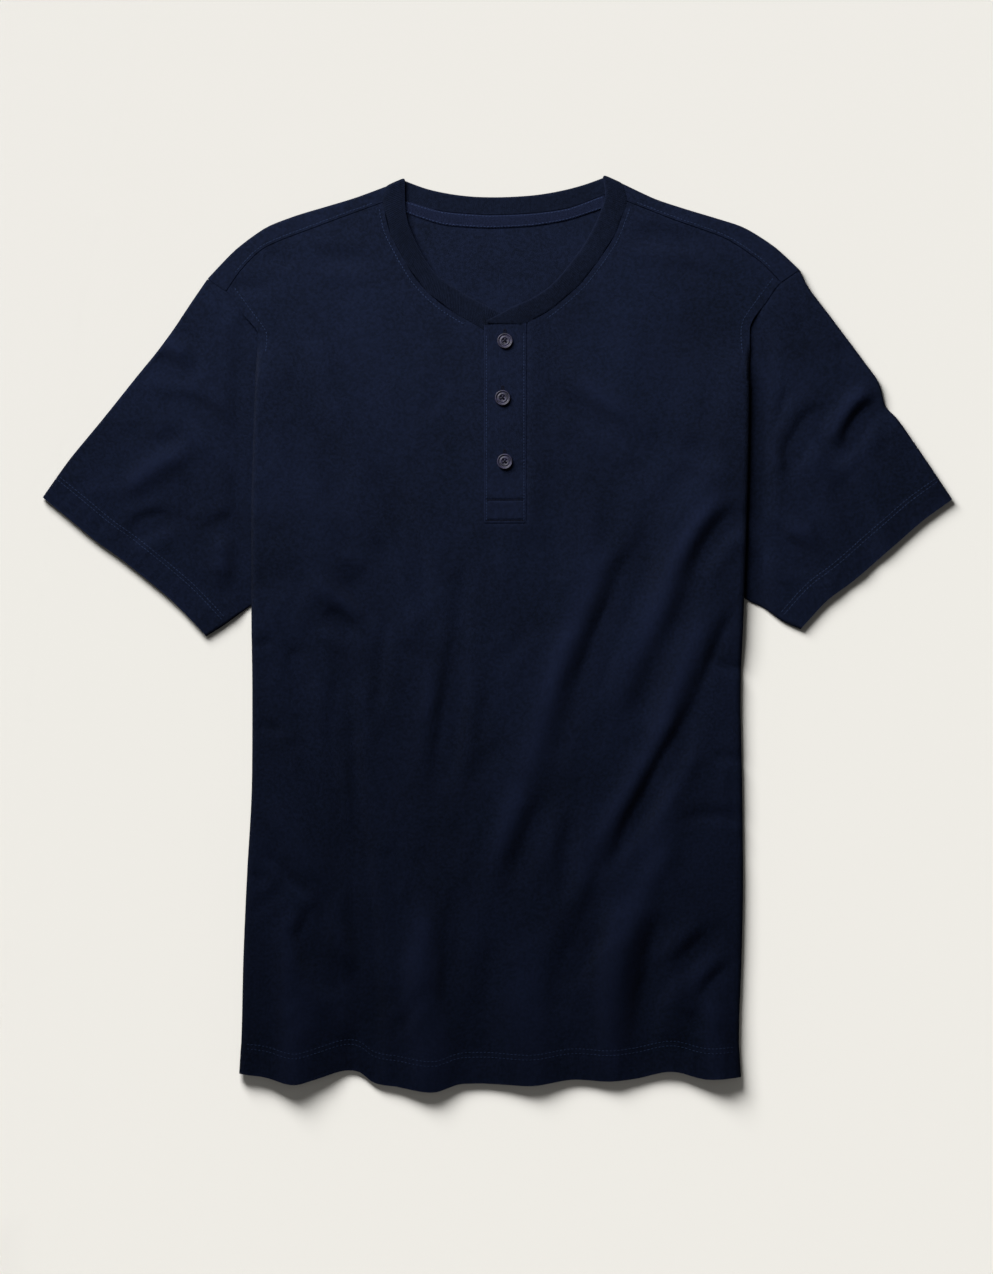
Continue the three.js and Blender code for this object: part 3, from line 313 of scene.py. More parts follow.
# How fast a fold fades at its ends, and how much the cloth swells beside a trough: soft, sharp
FOLD_FADE = (3, 4)
FOLD_SWELL = (0.4, 0.12)
FOLD_STEPS = 8


def fold_height(fold, x, y, sharp):
    """Height of one fold, which fades towards both of its ends."""
    x0, y0, x1, y1, x2, y2, half, high = fold
    reach = 4 * half
    near = ((x > min(x0, x1, x2) - reach) & (x < max(x0, x1, x2) + reach)
            & (y > min(y0, y1, y2) - reach) & (y < max(y0, y1, y2) + reach))
    total = np.zeros(np.shape(x))
    px, py = x[near], y[near]
    best = np.full(px.shape, np.inf)
    place = np.zeros(px.shape)
    t = np.linspace(0, 1, FOLD_STEPS + 1)[:, None]
    line = mix(mix(np.array([x0, y0]), np.array([x1, y1]), t),
               mix(np.array([x1, y1]), np.array([x2, y2]), t), t)
    for k in range(FOLD_STEPS):
        (ax, ay), (bx, by) = line[k], line[k + 1]
        dx, dy = bx - ax, by - ay
        u = np.clip(((px - ax) * dx + (py - ay) * dy) / (dx * dx + dy * dy), 0, 1)
        away = np.hypot(px - ax - u * dx, py - ay - u * dy)
        closer = away < best
        best = np.where(closer, away, best)
        place = np.where(closer, (k + u) / FOLD_STEPS, place)
    ends = 0.15 + 0.85 * smooth(FOLD_FADE[sharp] * np.minimum(place, 1 - place))
    if sharp:
        round_off = 0.3 * half
        shape = np.exp(-(np.sqrt(best**2 + round_off**2) - round_off) / (0.7 * half))
    else:
        shape = np.exp(-((best / half) ** 2))
    if high < 0:
        # The cloth swells a little on both sides of a trough
        shape = shape - FOLD_SWELL[sharp] * np.exp(-(((best - 1.8 * half) / (0.85 * half)) ** 2))
    total[near] = high * ends * shape
    return total


# Fields of slight wrinkles: lowest and highest x and y, main direction in degrees, how many
WRINKLE_FIELDS = [
    (-190, 190, -330, 20, -108, 110), (-190, 190, 20, 220, -112, 46), (-160, 160, 200, 330, -60, 18),
    (-350, -200, 20, 280, -140, 34), (200, 350, 20, 280, -45, 34),
]


def small_creases():
    """Slight wrinkles, laid mostly down and to the wearer's right as the main folds are."""
    found = []
    for x0, x1, y0, y1, turn, count in WRINKLE_FIELDS:
        for _ in range(count):
            x, y = rng.uniform(x0, x1), rng.uniform(y0, y1)
            angle = math.radians(turn + rng.normal(0, 22))
            length = rng.uniform(18, 60)
            bend = rng.normal(0, 0.12) * length
            dx, dy = math.cos(angle) * length, math.sin(angle) * length
            middle = (x + dx / 2 - dy / length * bend, y + dy / 2 + dx / length * bend)
            high = rng.choice([-1, 1]) * rng.uniform(0.25, 0.8)
            found.append((x, y, *middle, x + dx, y + dy, rng.uniform(4.5, 9), high))
    return found


wrinkles = small_creases()


def loft(x, y):
    total = np.full(np.shape(x), LOFT)
    for fold in FOLDS + LESSER_FOLDS:
        total += fold_height(fold, x, y, False)
    for fold in CREASES:
        total += fold_height(fold, x, y, True)
    for fold in wrinkles:
        total += fold_height(fold, x, y, False)
    over = total - LEAST_LOFT
    return LEAST_LOFT + (over + np.sqrt(over * over + LOFT_SOFTNESS)) / 2


def sleeve_cover(x, y):
    return cover(hidden_sleeve, x, y, *SUPPORT)


# Low ridges where the back doesn't quite touch the surface
BACK_RIDGES = [
    (120, 60, 70, -60, 30, -170, 10, 1.3), (60, 200, 20, 100, -20, -20, 12, 1.1),
    (-60, 120, -90, 0, -100, -120, 10, 1.2), (-20, -140, -40, -230, -50, -330, 9, 1.3),
    (90, -180, 80, -260, 90, -340, 10, 1.2), (-110, -170, -100, -250, -110, -320, 9, 1.0),
    (-70, 310, -30, 296, 10, 300, 11, 0.9), (20, 326, 45, 300, 60, 280, 9, 0.8),
    (-120, 260, -90, 210, -80, 150, 11, 1.0), (120, 270, 100, 220, 95, 150, 11, 1.0),
]


def back_ripple(x, y):
    total = np.zeros(np.shape(x))
    for fold in BACK_RIDGES:
        total += fold_height(fold, x, y, False)
    return total


def back_height(x, y):
    tuck = cover(tuck_outline, x, y, 0, STACK_RAMP)
    sleeve = sleeve_cover(x, y)
    share = smooth((STACK_NONE - y) / (STACK_NONE - STACK_FULL))
    stack = 2 * (PITCH * sleeve + STACK_PITCH * tuck) * share
    return FLOOR_LAYER + stack + back_ripple(x, y) * (1 - tuck) * (1 - sleeve)


def under_height(x, y):
    return FLOOR_LAYER + 2 * PITCH * sleeve_cover(x, y)


def front_height(x, y):
    return back_height(x, y) + PITCH + loft(x, y)


def placket_rise(x, y):
    """The cloth beside the placket rises towards the top of the strips, which are part of it."""
    right, left, low = PLACKET["right"], PLACKET["left"] + 1, PLACKET["bottom"]
    beside = np.maximum(np.maximum(right - x, x - left), low - y)
    most = np.where(x > left, 2.1, 1.4)
    return most * (1 - smooth((beside - 0.5) / 22)) * smooth((beside + 1.5) / 1.5)


def sleeve_height(x, y):
    pressed = cover(hidden_sleeve, x, y, *PRESSED)
    return FLOOR_LAYER + PITCH + loft(x, y) * (1 - pressed)


# Meshes

def with_height(points, height):
    p = np.asarray(points, float)
    return np.column_stack([p[:, :2], height(p[:, 0], p[:, 1])])


def normals_of(grid, present, ring):
    """Unit normal at each point of a grid, and which of its cells are whole."""
    def next_column(a):
        return np.roll(a, -1, axis=1) if ring else a[:, 1:]

    def this_column(a):
        return a if ring else a[:, :-1]

    a, b = this_column(grid)[:-1], next_column(grid)[:-1]
    c, d = next_column(grid)[1:], this_column(grid)[1:]
    here, after = this_column(present), next_column(present)
    whole = here[:-1] & after[:-1] & after[1:] & here[1:]
    cross = np.cross(c - a, d - b)
    cross /= np.maximum(np.linalg.norm(cross, axis=2), 1e-9)[..., None]
    cross[~whole] = 0
    total = np.zeros_like(grid)
    total[:-1, :cross.shape[1]] += cross
    total[1:, :cross.shape[1]] += cross
    if ring:
        total[:-1] += np.roll(cross, 1, axis=1)
        total[1:] += np.roll(cross, 1, axis=1)
    else:
        total[:-1, 1:] += cross
        total[1:, 1:] += cross
    total /= np.maximum(np.linalg.norm(total, axis=2), 1e-9)[..., None]
    return total, whole


def wall(grid, up, down, present=None, ring=False):
    """Closed wall round a grid of middle points; up and down are its half thicknesses."""
    rows, cols = grid.shape[:2]
    present = np.ones((rows, cols), bool) if present is None else present
    normal, whole = normals_of(grid, present, ring)
    facing = 1 if np.nansum(normal[..., 2] * up) > 0 or ring else -1
    up, down = (np.broadcast_to(v, (rows, cols))[..., None] for v in (up, down))
    top, bottom = grid + facing * normal * up, grid - facing * normal * down
    number = np.full((rows, cols), -1)
    number[present] = np.arange(present.sum())
    total = int(present.sum())
    vertices = np.vstack([top[present], bottom[present]])
    i, j = np.nonzero(whole)
    k = (j + 1) % cols
    corners = np.stack([number[i, j], number[i, k], number[i + 1, k], number[i + 1, j]], 1)
    faces = [corners[:, ::-1] if facing < 0 else corners,
             total + (corners if facing < 0 else corners[:, ::-1])]
    padded = np.pad(whole, 1)
    if ring:
        padded[1:-1, 0], padded[1:-1, -1] = whole[:, -1], whole[:, 0]
    sides = [(0, 1, padded[:-2, 1:-1]), (1, 2, padded[1:-1, 2:]),
             (2, 3, padded[2:, 1:-1]), (3, 0, padded[1:-1, :-2])]
    for first, second, beside in sides:
        lone = ~beside[i, j]
        a, b = corners[lone, first], corners[lone, second]
        rim = np.stack([b, a, a + total, b + total], 1)
        faces.append(rim[:, ::-1] if facing < 0 else rim)
    return vertices, np.vstack(faces)


def piece(name, vertices, faces, material, slot, nodes=(), sharp=50):
    """A mesh of the object from points in millimetres on the plan."""
    mesh = bpy.data.meshes.new(name)
    points = (np.asarray(vertices, float) + np.array(PLAN_SHIFT)) * MM
    if isinstance(faces, np.ndarray):
        faces = faces.tolist()
    mesh.from_pydata(points.tolist(), [], faces)
    mesh.update()
    mesh.shade_smooth()
    if sharp:
        mesh.set_sharp_from_angle(angle=math.radians(sharp))
    mesh.materials.append(material)
    made = bpy.data.objects.new(name, mesh)
    bpy.context.scene.collection.objects.link(made)
    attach(made, "root")
    if nodes:
        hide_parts(*nodes)
    return made


# Materials

def colour_of(red, green, blue):
    """Linear colour of an sRGB one of 0 to 255."""
    def linear(v):
        v /= 255
        return v / 12.92 if v <= 0.04045 else ((v + 0.055) / 1.055) ** 2.4
    return (linear(red), linear(green), linear(blue), 1)


class Nodes:
    """Short calls that add nodes to a material."""

    def __init__(self, name):
        self.material = bpy.data.materials.new(name)
        self.material.use_nodes = True
        self.tree = self.material.node_tree
        self.tree.nodes.clear()
        self.output = self.tree.nodes.new("ShaderNodeOutputMaterial")
        self.shader = self.tree.nodes.new("ShaderNodeBsdfPrincipled")
        self.tree.links.new(self.shader.outputs[0], self.output.inputs[0])

    def add(self, kind, inputs=None, **settings):
        node = self.tree.nodes.new(kind)
        for key, value in settings.items():
            setattr(node, key, value)
        for key, value in (inputs or {}).items():
            if isinstance(value, bpy.types.NodeSocket):
                self.tree.links.new(value, node.inputs[key])
            else:
                node.inputs[key].default_value = value
        return node

    def join(self, output, key):
        self.tree.links.new(output, self.shader.inputs[key])

    def fix(self, values):
        for key, value in values.items():
            self.shader.inputs[key].default_value = value

    def place(self, turn=0.0, scale=(1, 1, 1)):
        source = self.add("ShaderNodeTexCoord").outputs["Object"]
        return self.add("ShaderNodeMapping", {"Vector": source, "Rotation": (0, 0, math.radians(turn)),
                                              "Scale": scale}).outputs[0]

    def noise(self, vector, scale, detail=2.0, roughness=0.5):
        return self.add("ShaderNodeTexNoise", {"Vector": vector, "Scale": scale, "Detail": detail,
                                               "Roughness": roughness}).outputs["Fac"]

    def math(self, operation, a, b):
        return self.add("ShaderNodeMath", {0: a, 1: b}, operation=operation).outputs[0]

    def blend(self, factor, a, b):
        node = self.add("ShaderNodeMix", data_type="RGBA")
        for key, value in ((0, factor), (6, a), (7, b)):
            if isinstance(value, bpy.types.NodeSocket):
                self.tree.links.new(value, node.inputs[key])
            else:
                node.inputs[key].default_value = value
        return node.outputs[2]

    def span(self, value, low, high, to_low=0.0, to_high=1.0):
        return self.add("ShaderNodeMapRange", {"Value": value, "From Min": low, "From Max": high,
                                               "To Min": to_low, "To Max": to_high}).outputs[0]

    def bumps(self, *layers):
        """Bump nodes in a row: each layer is height, distance and strength."""
        normal = None
        for height, distance, strength in layers:
            inputs = {"Height": height, "Distance": distance, "Strength": strength}
            if normal is not None:
                inputs["Normal"] = normal
            normal = self.add("ShaderNodeBump", inputs).outputs[0]
        self.join(normal, "Normal")


def cloth(name, turn, dark, light, pitch=0.9, rough=0.92, relief=0.00016):
    """Fine knit: wales and courses, fuzz, a mottled dye with painted shade between the loops, and lighter
    edges and ridges: fading along edges, a painted highlight on raised folds.
    """
    n = Nodes(name)
    at = n.place(turn)
    # Two noises scramble the knit, so that no two loops are alike
    stretch, shift = (n.add("ShaderNodeTexNoise", {"Vector": at, "Scale": scale, "Detail": 1.0})
                      .outputs["Color"] for scale in (900.0, 700.0))
    shift = n.add("ShaderNodeVectorMath", {0: shift, 3: 0.0004}, operation="SCALE").outputs[0]
    loops = n.add("ShaderNodeVectorMath", {0: at, 1: stretch, 2: shift},
                  operation="MULTIPLY_ADD").outputs[0]
    wave = 2 * math.pi / 20 / (pitch * MM)
    wales = n.add("ShaderNodeTexWave", {"Vector": loops, "Scale": wave}, bands_direction="X")
    courses = n.add("ShaderNodeTexWave", {"Vector": loops, "Scale": wave * 1.3},
                    bands_direction="Y")
    knit = n.math("MULTIPLY", wales.outputs["Fac"], courses.outputs["Fac"])
    fuzz = n.noise(at, 1600.0, 3.0, 0.7)
    speck = n.noise(at, 430.0, 2.0, 0.6)
    dye = n.noise(at, 14.0, 4.0, 0.55)
    wear_and_highlight = n.add("ShaderNodeAttribute", attribute_name="wear_and_highlight").outputs["Fac"]
    dye_and_loop_shade = n.math("ADD", n.span(dye, 0.3, 0.7, 0.0, 0.35), n.span(speck, 0.36, 0.64, 0.0, 0.45))
    # The raised loops of the knit are also painted lighter than the hollows between them: painted shade
    # between the loops
    dye_and_loop_shade = n.math("ADD", dye_and_loop_shade, n.math("MULTIPLY", knit, 0.2))
    colour = n.blend(dye_and_loop_shade, dark, light)
    # Lighter where the attribute is high: fading along edges and seams, and a painted highlight on raised
    # folds and rib crests
    wear_and_highlight_colour = n.blend(n.math("MULTIPLY", wear_and_highlight, 0.35), colour, colour_of(15, 20, 37))
    n.join(wear_and_highlight_colour, "Base Color")
    n.join(n.span(fuzz, 0.3, 0.7, rough - 0.06, rough + 0.05), "Roughness")
    n.bumps((knit, relief, 0.8), (fuzz, relief, 0.5))
    n.fix({"Specular IOR Level": 0.0, "Sheen Weight": 0.008, "Sheen Roughness": 0.5,
           "Sheen Tint": (0.62, 0.68, 0.9, 1)})
    return n.material


def thread(name, dark, light):
    """Twisted sewing thread."""
    n = Nodes(name)
    at = n.place(35)
    twist = n.add("ShaderNodeTexWave", {"Vector": at, "Scale": 500.0, "Distortion": 1.0}).outputs["Fac"]
    # The thread is painted lighter along the crests of its twist: painted shade between the plies
    n.join(n.blend(n.math("MULTIPLY", twist, n.noise(at, 300.0)), dark, light), "Base Color")
    n.bumps((twist, 0.0001, 0.6))
    n.fix({"Roughness": 0.8, "Specular IOR Level": 0.02})
    return n.material


def button_plastic(name):
    """Marbled dark plastic with a soft polish and a fine grain."""
    n = Nodes(name)
    at = n.place(20, (1, 1.6, 1))
    cloud = n.add("ShaderNodeTexNoise", {"Vector": at, "Scale": 260.0, "Detail": 4.0, "Roughness": 0.6,
                                         "Distortion": 1.4}).outputs["Fac"]
    n.join(n.blend(n.span(cloud, 0.38, 0.64), colour_of(2, 2, 8), colour_of(20, 18, 37)), "Base Color")
    grain = n.noise(at, 2600.0, 2.0)
    n.join(n.span(grain, 0.3, 0.7, 0.44, 0.58), "Roughness")
    n.bumps((grain, 0.00002, 0.5))
    n.fix({"Specular IOR Level": 0.18})
    return n.material


NAVY_DARK, NAVY_LIGHT = colour_of(4.6, 6.4, 12.6), colour_of(9.8, 14.1, 27)
jersey = cloth("jersey_cloth", 0, NAVY_DARK, NAVY_LIGHT)
jersey_right = cloth("jersey_sleeve_right", 50, NAVY_DARK, NAVY_LIGHT)
jersey_left = cloth("jersey_sleeve_left", -50, NAVY_DARK, NAVY_LIGHT)
rib_cloth = cloth("rib_cloth", 0, colour_of(3.6, 5, 10), colour_of(7.6, 11.2, 21.6), pitch=0.6)
tape_cloth = cloth("tape_cloth", 45, colour_of(5, 7, 14), colour_of(11.5, 15, 29), pitch=1.4, relief=0.0003)
sewing = thread("sewing_thread", colour_of(15, 21, 36), colour_of(38, 50, 76))
dark_thread = thread("button_thread", colour_of(3, 3, 6), colour_of(8, 9, 16))
button_look = button_plastic("button_plastic")


def set_wear_and_highlight(made, value):
    """Share of fading and of painted highlight at each vertex, alike on both sides of a shell."""
    layer = made.data.attributes.new("wear_and_highlight", "FLOAT", "POINT")
    value = np.tile(np.clip(np.ravel(value), 0, 1), 2)
    layer.data.foreach_set("value", value.astype(np.float32))


def highlight_and_wear_of(middle, hem_away):
    """Painted highlight on raised folds, and fading along an edge."""
    # Raised folds are painted lighter: a painted highlight
    ridge = smooth((middle - LOFT - 1.0) / 5)
    return np.clip(0.6 * ridge + 0.5 * smooth((3 - hem_away) / 3), 0, 1)


# Body panels

ROWS_LOW = np.concatenate([[0, 0.7, 1.8, 3.4], np.arange(5.4, 21, 2.3), [21.6, 22.6, 23.8],
                           np.linspace(26.5, 569, 176)]) / 569
ROWS_HIGH = np.linspace(0, 1, 53)[1:]


def columns_of(side, points, end, margin):
    x, y = points[:, 0], points[:, 1]
    share = np.minimum(1, x / (edge_at(side, y, end) - SIGN[side] * margin))
    return {"sign": np.full(len(x), SIGN[side]), "share": share, "low": share.copy(), "top": y}


def joined(parts):
    return {key: np.concatenate([part[key] for part in parts]) for key in parts[0]}


def flipped(columns):
    return {key: value[::-1] for key, value in columns.items()}


def panel(columns, lows, highs, hem, end, semi, inset, height, under, turns, strips):
    """Points of a body panel with its turned-under strips, and which of them are there."""
    full = np.concatenate([np.ones(len(lows), bool), np.zeros(len(highs), bool)])
    low_share = np.concatenate([lows, np.ones(len(highs))])
    high_share = np.concatenate([np.zeros(len(lows)), highs])

    def row_y(foot, ceiling, column):
        shape = (slice(None), None) if column else slice(None)
        low = mix(foot, STACK_FULL, low_share[shape])
        return np.where(full[shape], low, mix(STACK_FULL, ceiling, high_share[shape]))

    def round_at(y):
        return 1 - 0.95 * smooth((y - STACK_NONE) / 20)

    flank, there, reach = {}, {}, {}
    for side, sign in SIGN.items():
        y = row_y(hem(np.array([EDGE[side][0][1]], float))[0], end[side], False)
        edge = edge_at(side, y, end[side])
        outer = edge - sign * inset(y, full)
        reach[side] = outer - sign * semi * round_at(y)
        high = height(reach[side], y)
        low = under(outer, y, high, full)
        s = np.arange(1, turns + 1)[None, :] / turns
        share = np.where(full, 1.0, 0.5)[:, None]
        roll_x = outer[:, None] + (reach[side] - outer)[:, None] * (1 - np.sin(np.pi * share * s))
        roll_z = low[:, None] + (high - low)[:, None] * (1 + np.cos(np.pi * s)) / 2
        tuck = np.where(full, read(TUCK_EDGE[side], y), 0)
        start = edge - sign * STRIP_START
        u = np.arange(1, strips + 1)[None, :] / strips
        strip_x = mix(start[:, None], tuck[:, None], u)
        foot = np.maximum(hem(strip_x), hem(reach[side])[:, None]) + STRIP_SHORT
        strip_y = np.where(full[:, None], mix(foot, STACK_FULL, low_share[:, None]), y[:, None])
        strip_z = under(strip_x, strip_y, high[:, None], full[:, None])
        x = np.hstack([roll_x, strip_x])
        z = np.hstack([roll_z, strip_z])
        flank_y = np.hstack([np.repeat(y[:, None], turns, 1), strip_y])
        flank[side] = np.stack([x, flank_y, z], 2)
        there[side] = np.hstack([np.ones((len(y), turns), bool), np.repeat(full[:, None], strips, 1)])
    share = mix(columns["low"][None], columns["share"][None], high_share[:, None])
    right = (columns["sign"] < 0)[None, :]
    foot = hem(share * np.where(right, reach["right"][:, None], reach["left"][:, None]))
    y = row_y(foot, columns["top"][None], True)
    back_of = inset(y, y <= STACK_FULL) + semi * round_at(y)
    edge = np.where(right, edge_at("right", y, end["right"]) + back_of,
                    edge_at("left", y, end["left"]) - back_of)
    x = share * edge
    middle = np.stack([x, y, height(x, y)], 2)
    grid = np.concatenate([flank["right"][:, ::-1], middle, flank["left"]], 1)
    present = np.concatenate([there["right"][:, ::-1], np.ones(x.shape, bool), there["left"]], 1)
    return grid, present


def front_hem(x):
    return read(HEM, x)


def back_hem(x):
    side = np.where(x < 0, front_hem(EDGE["right"][0][1]), front_hem(EDGE["left"][0][1]))
    return mix(BACK_HEM, side, smooth((abs(x) - 130) / 40))


SHOULDER_COLUMNS, NECK_COLUMNS, MIDDLE_COLUMNS, SLIT_HEIGHT = 42, 34, 13, 99.6


def front_panel():
    parts = []
    for side in SIGN:
        seam = spaced(SHOULDER_SEAM[side], SHOULDER_COLUMNS)
        neck = spaced(FRONT_NECK[side], NECK_COLUMNS)[1:]
        parts.append(columns_of(side, np.vstack([seam, neck]), FRONT_END[side], 0.05 * ROLL_FRONT))
    parts[1] = flipped(parts[1])
    columns = joined(parts)
    for key in ("share", "low"):
        columns[key][0] = columns[key][-1] = 1

    def under(x, y, high, full):
        return np.where(full, under_height(x, y),
                        mix(FLOOR_LAYER + 2 * PITCH, high, smooth((y - 222) / 20)))

    def inset(y, full):
        return np.where(full, JERSEY / 2, 0.0)

    turns, strips = 7, 7
    grid, present = panel(columns, ROWS_LOW, ROWS_HIGH, front_hem, FRONT_END, ROLL_FRONT, inset,
                          front_height, under, turns, strips)
    # Columns between the two sides of the slit, from the hem to its foot
    first = turns + strips + SHOULDER_COLUMNS + NECK_COLUMNS
    a, b = grid[:, first], grid[:, first + 1]
    t = np.linspace(0, 1, MIDDLE_COLUMNS + 2)[None, 1:-1, None]
    between = mix(a[:, None], b[:, None], t)
    between[..., 2] = front_height(between[..., 0], between[..., 1])
    low = a[:, 1] <= SLIT_HEIGHT
    grid = np.concatenate([grid[:, :first + 1], between, grid[:, first + 1:]], 1)
    beside = np.repeat(low[:, None], MIDDLE_COLUMNS, 1)
    present = np.concatenate([present[:, :first + 1], beside, present[:, first + 1:]], 1)
    slit = np.stack([a[~low], b[~low]], 1)
    return grid, present, slit


def hem_thickness(away, width, thin, thick):
    """Half thickness near a turned-up hem: full on the turn-up, thin past its stitches."""
    fall = smooth((away - width) / 1.6)
    groove = np.exp(-((away - width + 0.6) / 0.9) ** 2)
    return mix(thick, thin, fall) - 0.18 * groove


def make_front():
    grid, present, slit = front_panel()
    foot = np.where(present[0], grid[0, :, 1], 0)[None]
    away = grid[..., 1] - foot
    pucker = 0.22 * np.sin(grid[..., 0] * 0.62 + 2 * np.sin(grid[..., 0] * 0.11)) * smooth((26 - away) / 8)
    grid[..., 2] += pucker * smooth(away / 5)
    shown = present & (grid[..., 2] > FLOOR_LAYER + 2)
    grid[..., 2] += np.where(shown, placket_rise(grid[..., 0], grid[..., 1]), 0)
    up = hem_thickness(away, BODY_HEM, JERSEY / 2, JERSEY / 2 + 0.22)
    down = hem_thickness(away, BODY_HEM, JERSEY / 2, JERSEY / 2 + 0.5)
    vertices, faces = wall(grid, up, down, present)
    made = piece("front_cloth", vertices, faces, jersey, "jersey", ["front_panel"])
    set_wear_and_highlight(made, highlight_and_wear_of(loft(grid[..., 0], grid[..., 1])[present], away[present]))
    return made, slit


def shoulder_flap(side, count):
    """The back's turn over the shoulder and its run down to the shoulder seam."""
    fold = spaced(SHOULDER_FOLD[side], count)
    seam = spaced(SHOULDER_SEAM[side], count)
    way = fold - seam
    way /= np.linalg.norm(way, axis=1)[:, None]
    fold[-1] += 2.4 * (fold[-1] - fold[-2]) / np.linalg.norm(fold[-1] - fold[-2])
    seam[-1] += 1.2 * (seam[-1] - seam[-2]) / np.linalg.norm(seam[-1] - seam[-2])
    base = fold - way * (ROLL_SHOULDER + JERSEY / 2)
    high = front_height(base[:, 0], base[:, 1])
    rows = []
    for s in np.arange(1, 9) / 8:
        plan = base + way * ROLL_SHOULDER * math.sin(math.pi * s)
        rows.append(np.column_stack([plan, mix(FLOOR_LAYER, high, (1 - math.cos(math.pi * s)) / 2)]))
    stop = seam + way * 2 * GAP
    for s in np.arange(1, 10) / 9:
        rows.append(with_height(mix(base, stop, s), front_height))
    return base, rows


def make_back():
    count, neck_count = 30, 45
    flaps = {side: shoulder_flap(side, count) for side in SIGN}
    margin = 0.05 * ROLL_BACK + GAP
    neck = spaced(BACK_NECK, neck_count)
    right_neck, left_neck = neck[neck[:, 0] < 0], neck[neck[:, 0] >= 0]
    columns = joined([
        columns_of("right", flaps["right"][0], BACK_END["right"], margin),
        columns_of("right", right_neck, BACK_END["left"], margin),
        columns_of("left", left_neck, BACK_END["left"], margin),
        flipped(columns_of("left", flaps["left"][0], BACK_END["left"], margin)),
    ])
    lows, highs = np.linspace(0, 1, 120), np.linspace(0, 1, 34)[1:]
    turns, strips = 6, 6

    def inset(y, full):
        return np.where(full, STRIP_START, mix(STRIP_START, GAP, smooth((y - 226) / 26)))

    def under(x, y, high, full):
        return np.where(full, under_height(x, y) + STACK_PITCH, high)

    grid, present = panel(columns, lows, highs, back_hem, BACK_END, ROLL_BACK, inset, back_height, under,
                          turns, strips)
    pad = turns + strips
    rise = len(flaps["right"][1])
    extra = np.zeros((rise, grid.shape[1], 3))
    there = np.zeros((rise, grid.shape[1]), bool)
    for k in range(rise):
        extra[k, pad:pad + count + 1] = flaps["right"][1][k]
        extra[k, -pad - count - 1:-pad] = flaps["left"][1][k][::-1]
    there[:, pad:pad + count + 1] = True
    there[:, -pad - count - 1:-pad] = True
    grid = np.concatenate([grid, extra])
    present = np.concatenate([present, there])
    away = grid[..., 1] - grid[0, :, 1][None]
    thick = hem_thickness(away, BODY_HEM, JERSEY / 2, JERSEY / 2)
    vertices, faces = wall(grid, thick, JERSEY / 2, present)
    made = piece("back_cloth", vertices, faces, jersey, "jersey", ["back_panel"])
    set_wear_and_highlight(made, np.zeros(present.sum()))
    return made


def sleeve_plan(side, rows, cols):
    s = SLEEVES[side]
    upper, lower = spaced(s["upper"], rows), spaced(s["lower"], rows)
    cuff, armhole = spaced(s["cuff"], cols), spaced(s["armhole"], cols)
    u = np.linspace(0, 1, rows + 1)[:, None, None]
    v = np.linspace(0, 1, cols + 1)[None, :, None]
    ruled = mix(upper[:, None], lower[:, None], v) + mix(cuff[None], armhole[None], u)
    corners = mix(mix(cuff[0], cuff[-1], v), mix(armhole[0], armhole[-1], v), u)
    plan = ruled - corners
    way = plan[-2] - plan[-1]
    plan[-1] += way / np.linalg.norm(way, axis=1)[:, None] * ARMHOLE_GAP
    return plan


